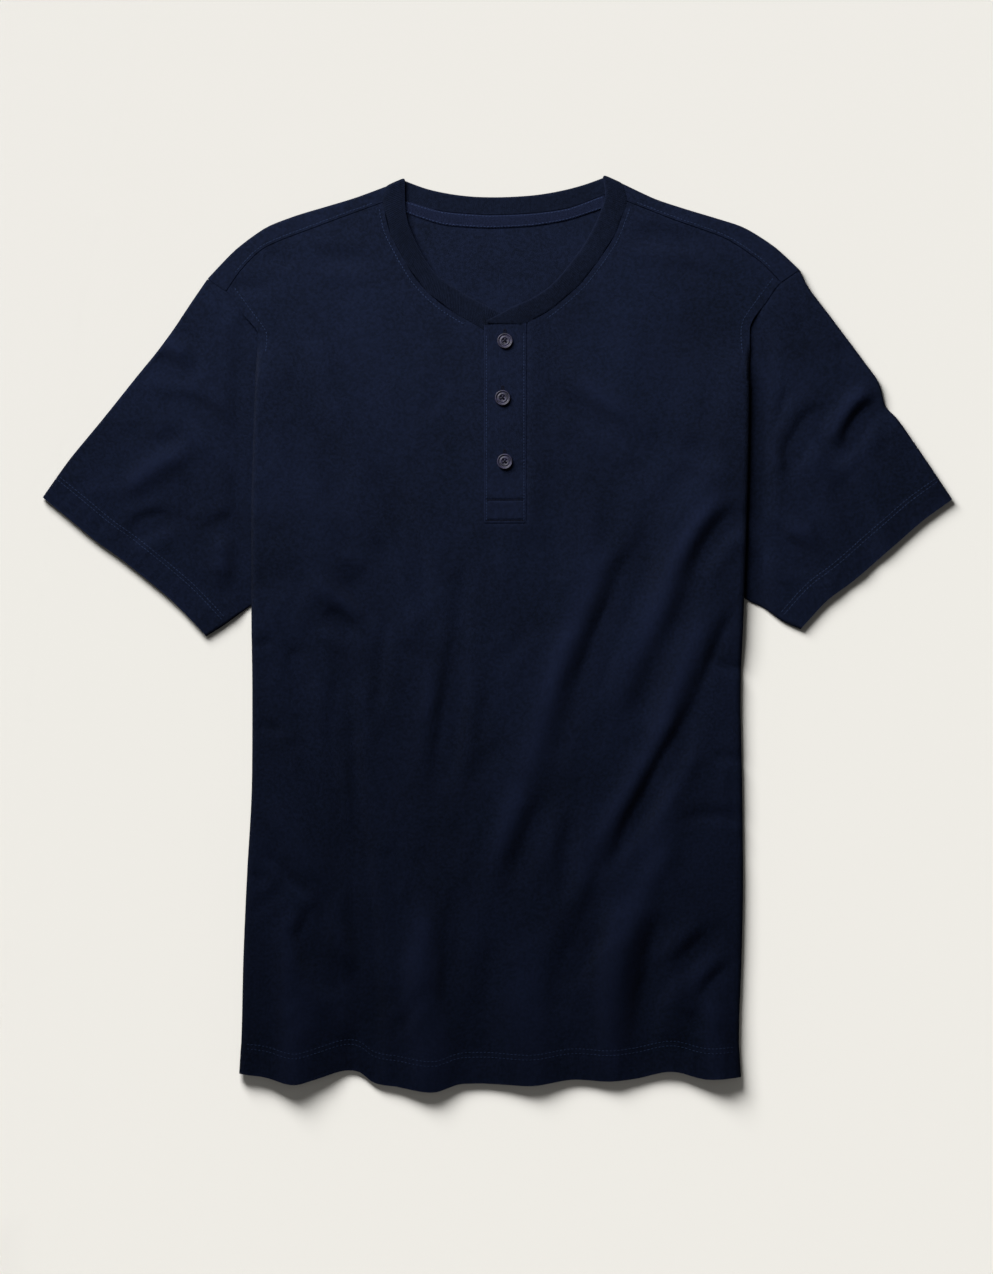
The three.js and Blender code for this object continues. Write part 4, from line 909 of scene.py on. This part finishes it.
def make_sleeve(side):
    rows, cols, turns = 104, 72, 6
    plan = sleeve_plan(side, rows, cols)
    reach = ROLL_SLEEVE + JERSEY / 2

    def inward(p, q, distance):
        way = q - p
        return p + way / np.linalg.norm(way, axis=-1)[..., None] * distance

    first, last = plan[:, 0], plan[:, -1]
    ends = inward(first, plan[:, 1], reach), inward(last, plan[:, -2], reach)
    flat = np.concatenate([ends[0][:, None], plan[:, 1:-1], ends[1][:, None]], 1)
    over = np.dstack([flat, sleeve_height(flat[..., 0], flat[..., 1])])
    steps = np.linalg.norm(np.diff(flat, axis=0), axis=2)
    away = np.vstack([np.zeros((1, cols + 1)), np.cumsum(steps, 0)])
    across = np.diff(flat, axis=1, prepend=flat[:, :1])
    along = np.cumsum(np.linalg.norm(across, axis=2), 1)
    pucker = 0.22 * np.sin(along * 0.7 + 2 * np.sin(along * 0.13)) * smooth((24 - away) / 8)
    over[..., 2] += pucker * smooth(away / 5)
    below = np.dstack([flat, np.full(flat.shape[:2], FLOOR_LAYER)])[:, ::-1]
    # The seam of the armhole: the top layer goes a little under the edge of the body
    way = over[-1, :, :2] - over[-2, :, :2]
    way /= np.linalg.norm(way, axis=1)[:, None]
    sunk = smooth((over[-1, :, 1] - 234) / 8)
    over[-1, :, :2] += way * (2.0 * sunk)[:, None]
    over[-1, :, 2] -= 1.3 * sunk
    over[-2, :, 2] -= 0.25 * sunk

    def bulge(end, tip, start, stop):
        out = []
        for s in np.arange(1, turns) / turns:
            p = inward(end, tip, ROLL_SLEEVE * math.sin(math.pi * s))
            out.append(np.column_stack([p, mix(start, stop, (1 - math.cos(math.pi * s)) / 2)]))
        return np.stack(out, 1)

    level = np.full(rows + 1, FLOOR_LAYER)
    low_edge = bulge(ends[1], last, over[:, -1, 2], level)
    high_edge = bulge(ends[0], first, level, over[:, 0, 2])
    grid = np.concatenate([over, low_edge, below, high_edge], 1)
    distance = np.concatenate([away, np.repeat(away[:, -1:], turns - 1, 1), away[:, ::-1],
                               np.repeat(away[:, :1], turns - 1, 1)], 1)
    outer = hem_thickness(distance, CUFF_HEM, JERSEY / 2, JERSEY / 2 + 0.2)
    outer[:, cols + turns:] = JERSEY / 2
    inner = hem_thickness(distance, CUFF_HEM, JERSEY / 2, JERSEY / 2 + 0.4)
    vertices, faces = ring_wall(grid, outer, inner)
    look = {"right": jersey_right, "left": jersey_left}[side]
    made = piece("sleeve_cloth_" + side, vertices, faces, look, "jersey", ["sleeve_" + side])
    ridge = np.zeros(grid.shape[:2])
    ridge[:, :cols + 1] = loft(flat[..., 0], flat[..., 1])
    set_wear_and_highlight(made, highlight_and_wear_of(ridge, distance))
    return made, over, away


def ring_wall(grid, outer, inner):
    """Wall round a tube; the outer side faces up on its top."""
    normal, _ = normals_of(grid, np.ones(grid.shape[:2], bool), True)
    if normal[:, :20, 2].sum() > 0:
        return wall(grid, outer, inner, None, True)
    vertices, faces = wall(grid, inner, outer, None, True)
    half = len(vertices) // 2
    return np.vstack([vertices[half:], vertices[:half]]), swapped(faces, half)


def swapped(faces, half):
    return np.where(faces < half, faces + half, faces - half)


# Neckband

RIB_PITCH = 1.5
RIB_HEIGHT = 0.22
BAND_ACROSS = np.array([0, 0.02, 0.06, 0.13, 0.25, 0.42, 0.6, 0.78, 0.92, 1.0])
BAND_ROLL = 1.4
OVERLAP = {"start": 36, "full": 14, "rise": RIB + 2 * GAP}


def band_front_height(side, x, y):
    cross = smooth((OVERLAP["start"] - x) / (OVERLAP["start"] - OVERLAP["full"])) if side == "left" else 0
    return front_height(x, y) + 0.4 + cross * OVERLAP["rise"]


def halved(points):
    middle = (points[1:] + points[:-1]) / 2
    out = np.empty((2 * len(points) - 1, 2))
    out[::2], out[1::2] = points, middle
    return out


def make_band():
    def edges(free, seam):
        """Free and seam edge, finely and in step."""
        inner = spaced(free, len(seam) - 1)
        return dense(inner, 16, 1.0), dense(seam, 16, 1.0)

    seams = {}
    for side in SIGN:
        beside = shifted(halved(spaced(FRONT_NECK[side], 5)), NECK_GAP * -SIGN[side])[::-1]
        if side == "left":
            beside = beside[beside[:, 0] > BAND_END["left"][1][0] + 8]
        seams[side] = np.vstack([BAND_END[side], beside, [BAND_FOLD[side]]])
    behind = shifted(spaced(BACK_NECK, 9), NECK_GAP)[1:-1]
    back_seam = np.vstack([[BAND_FOLD["right"]], behind, [BAND_FOLD["left"]]])
    runs = [
        (*edges(BAND_FREE["right"], seams["right"]), lambda x, y: band_front_height("right", x, y)),
        (*edges(BAND_FREE["back"], back_seam), lambda x, y: np.full(np.shape(x), RIB / 2)),
        (*edges(BAND_FREE["left"], seams["left"][::-1]), lambda x, y: band_front_height("left", x, y)),
    ]
    lines = []
    for free, seam, height in runs:
        plan = mix(free[:, None], seam[:, None], BAND_ACROSS[None, :, None])
        lines.append(np.dstack([plan, height(plan[..., 0], plan[..., 1])]))

    def roll(front, side):
        """Half turn from a front stretch down to the back one."""
        free, seam = front[0], front[-1]
        length = np.linalg.norm((seam - free)[:2])
        out = np.array([SIGN[side] * (free[1] - seam[1]) / length, abs(seam[0] - free[0]) / length])
        rows = []
        for s in np.arange(1, 12) / 12:
            moved = front.copy()
            moved[:, :2] += out * BAND_ROLL * math.sin(math.pi * s)
            moved[:, 2] = mix(front[:, 2], RIB / 2, (1 - math.cos(math.pi * s)) / 2)
            rows.append(moved)
        return np.stack(rows)

    grid = np.concatenate([lines[0], roll(lines[0][-1], "right"), lines[1],
                           roll(lines[2][0], "left")[::-1], lines[2]])
    # Even steps along the middle of the band, four to a rib
    along = lengths(grid[:, 5])
    keep = np.concatenate([[True], np.diff(along) > 1e-6])
    grid, along = grid[keep], along[keep]
    count = 4 * int(along[-1] / RIB_PITCH)
    want = np.linspace(0, along[-1], count + 1)
    fine = np.stack([[np.interp(want, along, grid[:, c, d]) for d in range(3)]
                     for c in range(grid.shape[1])], 0).transpose(2, 0, 1)
    rib = RIB_HEIGHT * np.cos(np.arange(count + 1) * math.pi / 2)[:, None]
    inside = BAND_ACROSS[None, :]
    fold = np.sqrt(np.clip(1 - (1 - inside / 0.13) ** 2, 0, 1) * (inside < 0.13) + (inside >= 0.13))
    crown = 0.35 * np.sin(np.pi * inside**0.8)
    half = (RIB / 2 - 0.15) * np.maximum(fold, 0.25) + crown * 0.6
    # Held down where the band is sewn to the body
    half = half * mix(1, 0.5, smooth((inside - 0.78) / 0.22))
    quiet = smooth((1 - inside) / 0.12) * smooth(inside / 0.05 + 0.4)
    inner = (RIB / 2) * np.maximum(fold, 0.25) - 0.1 + rib * quiet * 0.3
    vertices, faces = wall(fine, half + rib * quiet, inner)
    made = piece("neckband_rib", vertices, faces, rib_cloth, "rib", ["neckband"], sharp=80)
    # The band's folded edge is faded; its rib crests are painted lighter, a painted highlight
    set_wear_and_highlight(made, 0.5 * smooth((0.1 - inside) / 0.1) + 0.12 * (rib > 0.1))
    return made


# Strips

def strip(lower, upper, rows, cols, height):
    a, b = spaced(lower, rows), spaced(upper, rows)
    plan = mix(a[:, None], b[:, None], np.linspace(0, 1, cols + 1)[None, :, None])
    return np.dstack([plan, height(plan[..., 0], plan[..., 1])])


def over_height(x, y):
    return front_height(x, y) + JERSEY / 2 + 2 * GAP + BAND_STRIP / 2


def make_placket(slit):
    columns = np.linspace(0, 1, 13)[None, :, None]
    inset = np.array([2 * GAP, 0])
    plan = mix((slit[:, 0, :2] + inset)[:, None], (slit[:, 1, :2] - inset)[:, None], columns)
    plan = plan[1:-3]
    grid = np.dstack([plan, front_height(plan[..., 0], plan[..., 1])])
    under = piece("placket_under_cloth", *wall(grid, JERSEY / 2, JERSEY / 2), jersey, "jersey",
                  ["placket_under"])
    set_wear_and_highlight(under, np.zeros(grid.shape[:2]))
    rows, cols = 250, 30
    grid = strip([(PLACKET["right"], PLACKET["bottom"]), (PLACKET["right"], PLACKET["top"] + 0.6)],
                 [(PLACKET["left"] + 1, PLACKET["bottom"]), (PLACKET["left"] + 1, PLACKET["top"] + 2.4)],
                 rows, cols, over_height)
    x, y = grid[..., 0], grid[..., 1]
    edge = np.minimum(x - x[:, :1], x[:, -1:] - x)
    low = y - PLACKET["bottom"]
    stitched = np.exp(-((edge - 2.0) / 0.8) ** 2)
    box = np.exp(-((low - 1.8) / 1.1) ** 2) + np.exp(-((low - 18.4) / 1.1) ** 2)
    soft = 0.5 + 0.5 * smooth(edge / 1.0)
    half = BAND_STRIP / 2 * soft + 0.12 * np.sin(math.pi * np.clip(edge / 17, 0, 1))
    half -= 0.25 * stitched + 1.0 * np.minimum(1, box) * smooth((edge - 1.2) / 1.2)
    half *= 0.6 + 0.4 * smooth(low / 1.2)
    half += 0.06 * np.sin(y * 0.9 + np.sin(y * 0.23)) * smooth((5 - edge) / 4)
    over = piece("placket_over_cloth", *wall(grid, half, BAND_STRIP / 2), jersey, "jersey",
                 ["placket_over"])
    set_wear_and_highlight(over, 0.8 * smooth((1.4 - edge) / 1.4) + 0.15)
    return under, over


def make_tape():
    rows, cols = 300, 8
    grid = strip(TAPE_LOWER, TAPE_UPPER, rows, cols,
                 lambda x, y: back_height(x, y) + JERSEY / 2 + GAP + TAPE / 2)
    across = np.linspace(-1, 1, cols + 1)[None]
    along = lengths(grid[:, 4])[:, None]
    chevron = 0.1 * np.cos(2 * math.pi * (along / 2.4 + 0.8 * abs(across)))
    half = TAPE / 2 * np.sqrt(1 - 0.75 * abs(across) ** 6) + chevron * (abs(across) < 0.95)
    made = piece("neck_tape_twill", *wall(grid, half, TAPE / 2 - 0.05), tape_cloth, "tape", ["neck_tape"],
                 sharp=80)
    set_wear_and_highlight(made, np.broadcast_to(0.45 + 0.4 * (abs(across) > 0.7), grid.shape[:2]))
    return made


# Sewing

def stitch_mesh(starts, ends, radius, rise):
    """Short threads from starts to ends, a little proud in their middles."""
    sides, rings = 6, 5
    t = np.linspace(0, 1, rings)
    girth = radius * np.sqrt(np.clip(1 - (2 * t - 1) ** 4, 0.12, 1))
    way = ends - starts
    way /= np.maximum(np.linalg.norm(way, axis=1), 1e-9)[:, None]
    side = np.cross(way, [0, 0, 1.0])
    side /= np.maximum(np.linalg.norm(side, axis=1), 1e-9)[:, None]
    upward = np.cross(side, way)
    angle = np.arange(sides) * 2 * math.pi / sides
    middle = mix(starts[:, None], ends[:, None], t[None, :, None])
    middle = middle + upward[:, None] * (rise * np.sin(math.pi * t))[None, :, None]
    around = (np.cos(angle)[None, :, None] * side[:, None] + np.sin(angle)[None, :, None] * upward[:, None])
    points = middle[:, :, None] + girth[None, :, None, None] * around[:, None]
    one = []
    for r in range(rings - 1):
        for a in range(sides):
            b = (a + 1) % sides
            one.append([r * sides + a, (r + 1) * sides + a, (r + 1) * sides + b, r * sides + b])
    faces = [[f + k * rings * sides for f in face] for k in range(len(starts)) for face in one]
    for k in range(len(starts)):
        base = k * rings * sides
        faces.append([base + a for a in range(sides)])
        faces.append([base + (rings - 1) * sides + a for a in range(sides)][::-1])
    return points.reshape(-1, 3), faces


def stitch_row(path, height, pitch=3.1, share=0.66):
    """Starts and ends of the stitches along a path on the plan."""
    line = dense(path, 12, 0.7)
    along = lengths(line)
    count = int(along[-1] / pitch)
    at = np.arange(count) * pitch + (along[-1] - count * pitch) / 2

    def point(distance):
        plan = np.stack([np.interp(distance, along, line[:, d]) for d in range(2)], 1)
        return with_height(plan, height)

    return point(at), point(at + pitch * share)


def make_stitches(name, rows, radius=0.22, rise=0.12, material=None):
    starts = np.vstack([row[0] for row in rows])
    ends = np.vstack([row[1] for row in rows])
    vertices, faces = stitch_mesh(starts, ends, radius, rise)
    return piece(name, vertices, faces, material or sewing, "jersey", sharp=None)


def buttonhole(x, y, length=15.0, width=2.6):
    """Close stitches across both sides of a slit and round its ends."""
    starts, ends = [], []
    straight = length - width
    for k in range(44):
        h = y - straight / 2 + straight * k / 43
        for s in (-1, 1):
            starts.append((x + s * 0.25, h))
            ends.append((x + s * width / 2, h + 0.1))
    for k in range(13):
        angle = math.pi * k / 12
        for s in (-1, 1):
            middle = y + s * straight / 2
            starts.append((x + 0.2 * math.cos(angle), middle + s * 0.2 * math.sin(angle)))
            ends.append((x + width / 2 * math.cos(angle), middle + s * width / 2 * math.sin(angle)))
    top = over_top(0.06)
    return with_height(starts, top), with_height(ends, top)


def over_top(lift):
    return lambda x, y: over_height(x, y) + BAND_STRIP / 2 + lift


def front_top(lift):
    return lambda x, y: front_height(x, y) + JERSEY / 2 + lift


def sew_body():
    rows = []
    x = np.linspace(-204, 192, 60)
    for up, lift in ((21.2, 0.1), (25.0, 0.0)):
        rows.append(stitch_row(np.column_stack([x, front_hem(x) + up]), front_top(lift), share=0.6))
    make_stitches("hem_stitches", rows)
    rows = []
    for side, sign in SIGN.items():
        high = [(x, y) for y, x in EDGE[side] if y >= 243]
        high = [p for p in high if p[1] <= FRONT_END[side] + 0.1]
        line = np.array([(high[0][0] + sign, high[0][1] - 14), *high])
        inside = shifted(line, 7.0 * sign)
        rows.append(stitch_row(inside[:, :2], front_top(0.1), pitch=2.9))
    make_stitches("armhole_stitches", rows)
    rows = []
    for side, sign in SIGN.items():
        neck = spaced(FRONT_NECK[side], 30)
        rows.append(stitch_row(shifted(neck, 4.0 * sign)[1:-1], front_top(0.08), pitch=2.8))
        seam = spaced(SHOULDER_SEAM[side], 20)[2:-1]
        fold = spaced(SHOULDER_FOLD[side], 20)[2:-1]
        way = (fold - seam) / np.linalg.norm(fold - seam, axis=1)[:, None]
        rows.append(stitch_row(seam + way * 2.6, front_top(0.08), pitch=2.9))
    make_stitches("neck_stitches", rows)


def sew_sleeve(side, over, away):
    rows = []
    for distance in (18.6, 21.6):
        path = []
        for j in range(1, over.shape[1] - 1):
            path.append([np.interp(distance, away[:, j], over[:, j, d]) for d in range(3)])
        path = np.array(path)
        along = lengths(path)
        pitch = 3.1
        count = int(along[-1] / pitch)
        at = np.arange(count) * pitch
        lift = JERSEY / 2 + (0.1 if distance < 20 else 0.02)
        pair = []
        for offset in (0, pitch * 0.72):
            p = np.stack([np.interp(at + offset, along, path[:, d]) for d in range(3)], 1)
            p[:, 2] += lift
            pair.append(p)
        rows.append(pair)
    make_stitches("cuff_stitches_" + side, rows)


def sew_placket():
    left, right = PLACKET["right"] + 2.0, PLACKET["left"] - 1.0
    low, high, top = PLACKET["bottom"] + 1.8, PLACKET["bottom"] + 18.4, PLACKET["top"] - 5
    edges = [[(left, low), (left, top - 2)], [(right, low), (right, top)]]
    rows = [stitch_row(np.array(run, float), over_top(-0.14), pitch=2.5, share=0.6) for run in edges]
    make_stitches("placket_stitches", rows)
    box = [[(left, low), (right, low)], [(left, high), (right, high)]]
    rows = [stitch_row(np.array(run, float), over_top(-0.7), pitch=2.5, share=0.9) for run in box]
    make_stitches("placket_box_stitches", rows, radius=0.35, material=dark_thread)
    holes = [buttonhole(x, y + 2.6) for x, y in BUTTONS.values()]
    make_stitches("buttonholes", holes, radius=0.2, rise=0.1, material=dark_thread)


def sew_tape():
    def top(x, y):
        return back_height(x, y) + JERSEY / 2 + GAP + TAPE + 0.02

    rows = [stitch_row(shifted(TAPE_LOWER, 1.0), top, pitch=2.8),
            stitch_row(shifted(TAPE_UPPER, -1.0), top, pitch=2.8)]
    make_stitches("tape_stitches", rows)


# Buttons

def make_button(node, x, y):
    rings, around = 34, 60
    r = np.linspace(0, 1, rings) ** 0.9 * BUTTON_RADIUS
    theta = np.arange(around) * 2 * math.pi / around
    dish, rim, height = 0.9, 1.3, BUTTON_HEIGHT
    profile = read([(0, height - dish), (2.3, height - dish), (2.9, height - 0.45), (3.5, height - 0.45),
                    (4.1, height - 0.8), (4.7, height - 0.7), (BUTTON_RADIUS - rim * 0.8, height - 0.1),
                    (BUTTON_RADIUS - rim * 0.5, height), (BUTTON_RADIUS - 0.2, height - 0.35),
                    (BUTTON_RADIUS, height - 0.95)], r)
    px, py = r[:, None] * np.cos(theta), r[:, None] * np.sin(theta)
    top = np.broadcast_to(profile[:, None], px.shape).copy()
    hole_off = 1.45 / math.sqrt(2)
    for sx in (-1, 1):
        for sy in (-1, 1):
            away = np.hypot(px - sx * hole_off, py - sy * hole_off)
            top -= 1.2 * smooth((0.85 - away) / 0.3)
    vertices = [(0, 0, top[0, 0])]
    vertices += [(a, b, c) for a, b, c in zip(px[1:].ravel(), py[1:].ravel(), top[1:].ravel())]
    lower = [(0.96, height * 0.35), (0.9, height * 0.12), (0.62, 0.0), (0.0, 0.0)]
    for share, z in lower[:-1]:
        wide = share * BUTTON_RADIUS
        vertices += [(wide * math.cos(a), wide * math.sin(a), z) for a in theta]
    vertices.append((0, 0, 0))
    faces = [[0, 1 + k, 1 + (k + 1) % around] for k in range(around)]
    bands = rings - 1 + len(lower) - 1
    for i in range(bands - 1):
        for k in range(around):
            a, b = 1 + i * around + k, 1 + i * around + (k + 1) % around
            faces.append([a, a + around, b + around, b])
    last, tip = 1 + (bands - 1) * around, len(vertices) - 1
    faces += [[last + k, tip, last + (k + 1) % around] for k in range(around)]
    points = np.array(vertices)
    step = 4

    def height_at(x, y):
        return over_height(np.array(float(x)), np.array(float(y)))

    slope = [(height_at(x + dx, y + dy) - height_at(x - dx, y - dy)) / (2 * step)
             for dx, dy in ((step, 0), (0, step))]
    normal = np.array([-slope[0], -slope[1], 1.0])
    normal /= np.linalg.norm(normal)
    side = np.cross([0, 1.0, 0], normal)
    side /= np.linalg.norm(side)
    frame_of = np.stack([side, np.cross(normal, side), normal])
    centre = np.array([x, y, float(height_at(x, y))])
    centre = centre + normal * (BAND_STRIP / 2 + 2 * GAP)
    piece(node + "_disc", points @ frame_of + centre, faces, button_look, "button", [node], sharp=60)
    bars = [((-1, -1), (1, 1)), ((-1, 1), (1, -1)), ((-1.1, -0.8), (0.8, 1.1)), ((-0.8, 1.1), (1.1, -0.8))]
    level = height - dish + 0.12
    starts = np.array([(a[0] * hole_off, a[1] * hole_off, level) for a, b in bars]) @ frame_of + centre
    ends = np.array([(b[0] * hole_off, b[1] * hole_off, level) for a, b in bars]) @ frame_of + centre
    make_stitches(node + "_thread", [(starts, ends)], radius=0.3, rise=0.2, material=dark_thread)


front, slit = make_front()
back = make_back()
sleeves = {}
for side in SIGN:
    sleeves[side], over, away = make_sleeve(side)
    sew_sleeve(side, over, away)
band = make_band()
under_strip, over_strip = make_placket(slit)
tape = make_tape()
sew_body()
sew_placket()
sew_tape()
for node, (x, y) in BUTTONS.items():
    make_button(node, x, y)

# Light, floor and camera

AMBIENT = 0.05
# Light that the pale backdrop adds on the ground near the shirt
BACKDROP_LIGHT = 0.065
LIGHTS = {
    # Place, what it is aimed at, width and height, power, spread in degrees
    "key_light": ((-0.45, 0.88, 0.82), (0.24, 0.36, 0), (0.9, 0.6), 43, 122),
    "fill_light": ((0, -0.4, 2.9), (0, 0, 0), (2.6, 2.6), 8, 180),
}


# A lamp's power to the brightness of a white sheet one metre away, and points along each side of a lamp
LAMP_SCALE = 1 / (4 * math.pi)
LAMP_POINTS = 10


def lamp_axes(place, target):
    """Direction of a lamp, and the ways of its width and its height."""
    way = np.array(target, float) - np.array(place)
    way /= np.linalg.norm(way)
    across = np.cross(way, (0, 1, 0) if abs(way[1]) < 0.9 else (0, 0, 1))
    across /= np.linalg.norm(across)
    return way, across, np.cross(across, way)


def area_light(name, place, target, size, power, spread):
    data = bpy.data.lights.new(name, "AREA")
    data.shape = "RECTANGLE"
    data.size, data.size_y = size
    data.energy = power
    data.spread = math.radians(spread)
    made = bpy.data.objects.new(name, data)
    way, across, up = lamp_axes(place, target)
    made.rotation_euler = Matrix((across, up, -way)).transposed().to_euler()
    made.location = place
    bpy.context.scene.collection.objects.link(made)


def light_at(x, y):
    """Light that reaches the floor, as the brightness of a white matt sheet there."""
    total = np.full(np.shape(x), AMBIENT + BACKDROP_LIGHT)
    for place, target, size, power, spread in LIGHTS.values():
        way, across, up = lamp_axes(place, target)
        half_spread = math.radians(min(spread, 179.9)) / 2
        half_tan = math.tan(half_spread)
        gain = 4 / math.pi / (half_tan - half_spread)
        for u in np.linspace(-0.45, 0.45, LAMP_POINTS):
            for v in np.linspace(-0.45, 0.45, LAMP_POINTS):
                at = np.array(place) + across * u * size[0] + up * v * size[1]
                dx, dy = x - at[0], y - at[1]
                distance = np.sqrt(dx**2 + dy**2 + at[2] ** 2)
                facing = (dx * way[0] + dy * way[1] - at[2] * way[2]) / distance
                part = np.clip(facing, 0, 1) * at[2] / distance**3
                if spread < 180:
                    tan = np.sqrt(np.maximum(1 - facing**2, 0)) / np.maximum(facing, 1e-3)
                    part = part * np.clip(half_tan - tan, 0, None) * gain
                total += power * LAMP_SCALE * part / LAMP_POINTS**2
    return total


FLOOR_LEVEL = -0.0006
FLOOR_REACH = 14.0
FLOOR_LINES = 181
GROUND = 0.86
GROUND_TINT = (1, 0.977, 0.92, 1)
MOST_PAINT = 0.9
SWEEP_START = 6
spread_out = np.linspace(-1, 1, FLOOR_LINES)
floor_lines = FLOOR_REACH * spread_out**3
floor_x, floor_y = (grid.ravel() for grid in np.meshgrid(floor_lines, floor_lines))
# Far from the shirt the ground sweeps up and fades, as a studio's paper backdrop does
swept = 0.15 * np.maximum(np.hypot(floor_x, floor_y) - SWEEP_START, 0) ** 2
corner = np.arange(FLOOR_LINES - 1)[:, None] * FLOOR_LINES + np.arange(FLOOR_LINES - 1)[None]
cells = np.stack([corner, corner + 1, corner + FLOOR_LINES + 1, corner + FLOOR_LINES], 2)
floor_mesh = bpy.data.meshes.new("stage_floor")
floor_mesh.from_pydata(np.column_stack([floor_x, floor_y, FLOOR_LEVEL + swept]).tolist(), [],
                       cells.reshape(-1, 4).tolist())
floor = bpy.data.objects.new("stage_floor", floor_mesh)
bpy.context.scene.collection.objects.link(floor)
# The paint is darker where more light falls, so that the ground looks as even as it is shown,
# and where too little falls the ground glows faintly
light = light_at(floor_x, floor_y)
wanted = GROUND - (GROUND - AMBIENT) * smooth(swept / 5)
missing = wanted - 1.1 * light
paint_share = np.clip(wanted / light, 0.02, MOST_PAINT) * (1 - 0.8 * smooth(missing / 0.4))
for name, values in (("shade", paint_share), ("glow", np.maximum(missing, 0))):
    layer = floor_mesh.attributes.new(name, "FLOAT", "POINT")
    layer.data.foreach_set("value", values.astype(np.float32))
paint = Nodes("floor_paint")
shade = paint.add("ShaderNodeAttribute", attribute_name="shade").outputs["Fac"]
paint.join(paint.blend(shade, (0, 0, 0, 1), GROUND_TINT), "Base Color")
paint.join(paint.add("ShaderNodeAttribute", attribute_name="glow").outputs["Fac"], "Emission Strength")
paint.fix({"Emission Color": GROUND_TINT, "Roughness": 1.0, "Specular IOR Level": 0.0})
paint.material.cycles.emission_sampling = "NONE"
floor_mesh.materials.append(paint.material)
for name, settings in LIGHTS.items():
    area_light(name, *settings)
world = bpy.data.worlds.new("studio")
world.use_nodes = True
world.node_tree.nodes["Background"].inputs[0].default_value = (1, 1, 1, 1)
world.node_tree.nodes["Background"].inputs[1].default_value = AMBIENT
bpy.context.scene.world = world
bpy.context.scene.view_settings.view_transform = "Standard"

SHOWN_HEIGHT = 1.0319
SHIRT_LEVEL = 0.008
CAMERA_HEIGHT = 2.6
lens_data = bpy.data.cameras.new("camera")
lens_data.sensor_width = 36
lens_data.lens = 36 * CAMERA_HEIGHT / SHOWN_HEIGHT
camera = bpy.data.objects.new("camera", lens_data)
camera.location = (-0.0008, -0.00308, CAMERA_HEIGHT + SHIRT_LEVEL)
bpy.context.scene.collection.objects.link(camera)
bpy.context.scene.camera = camera
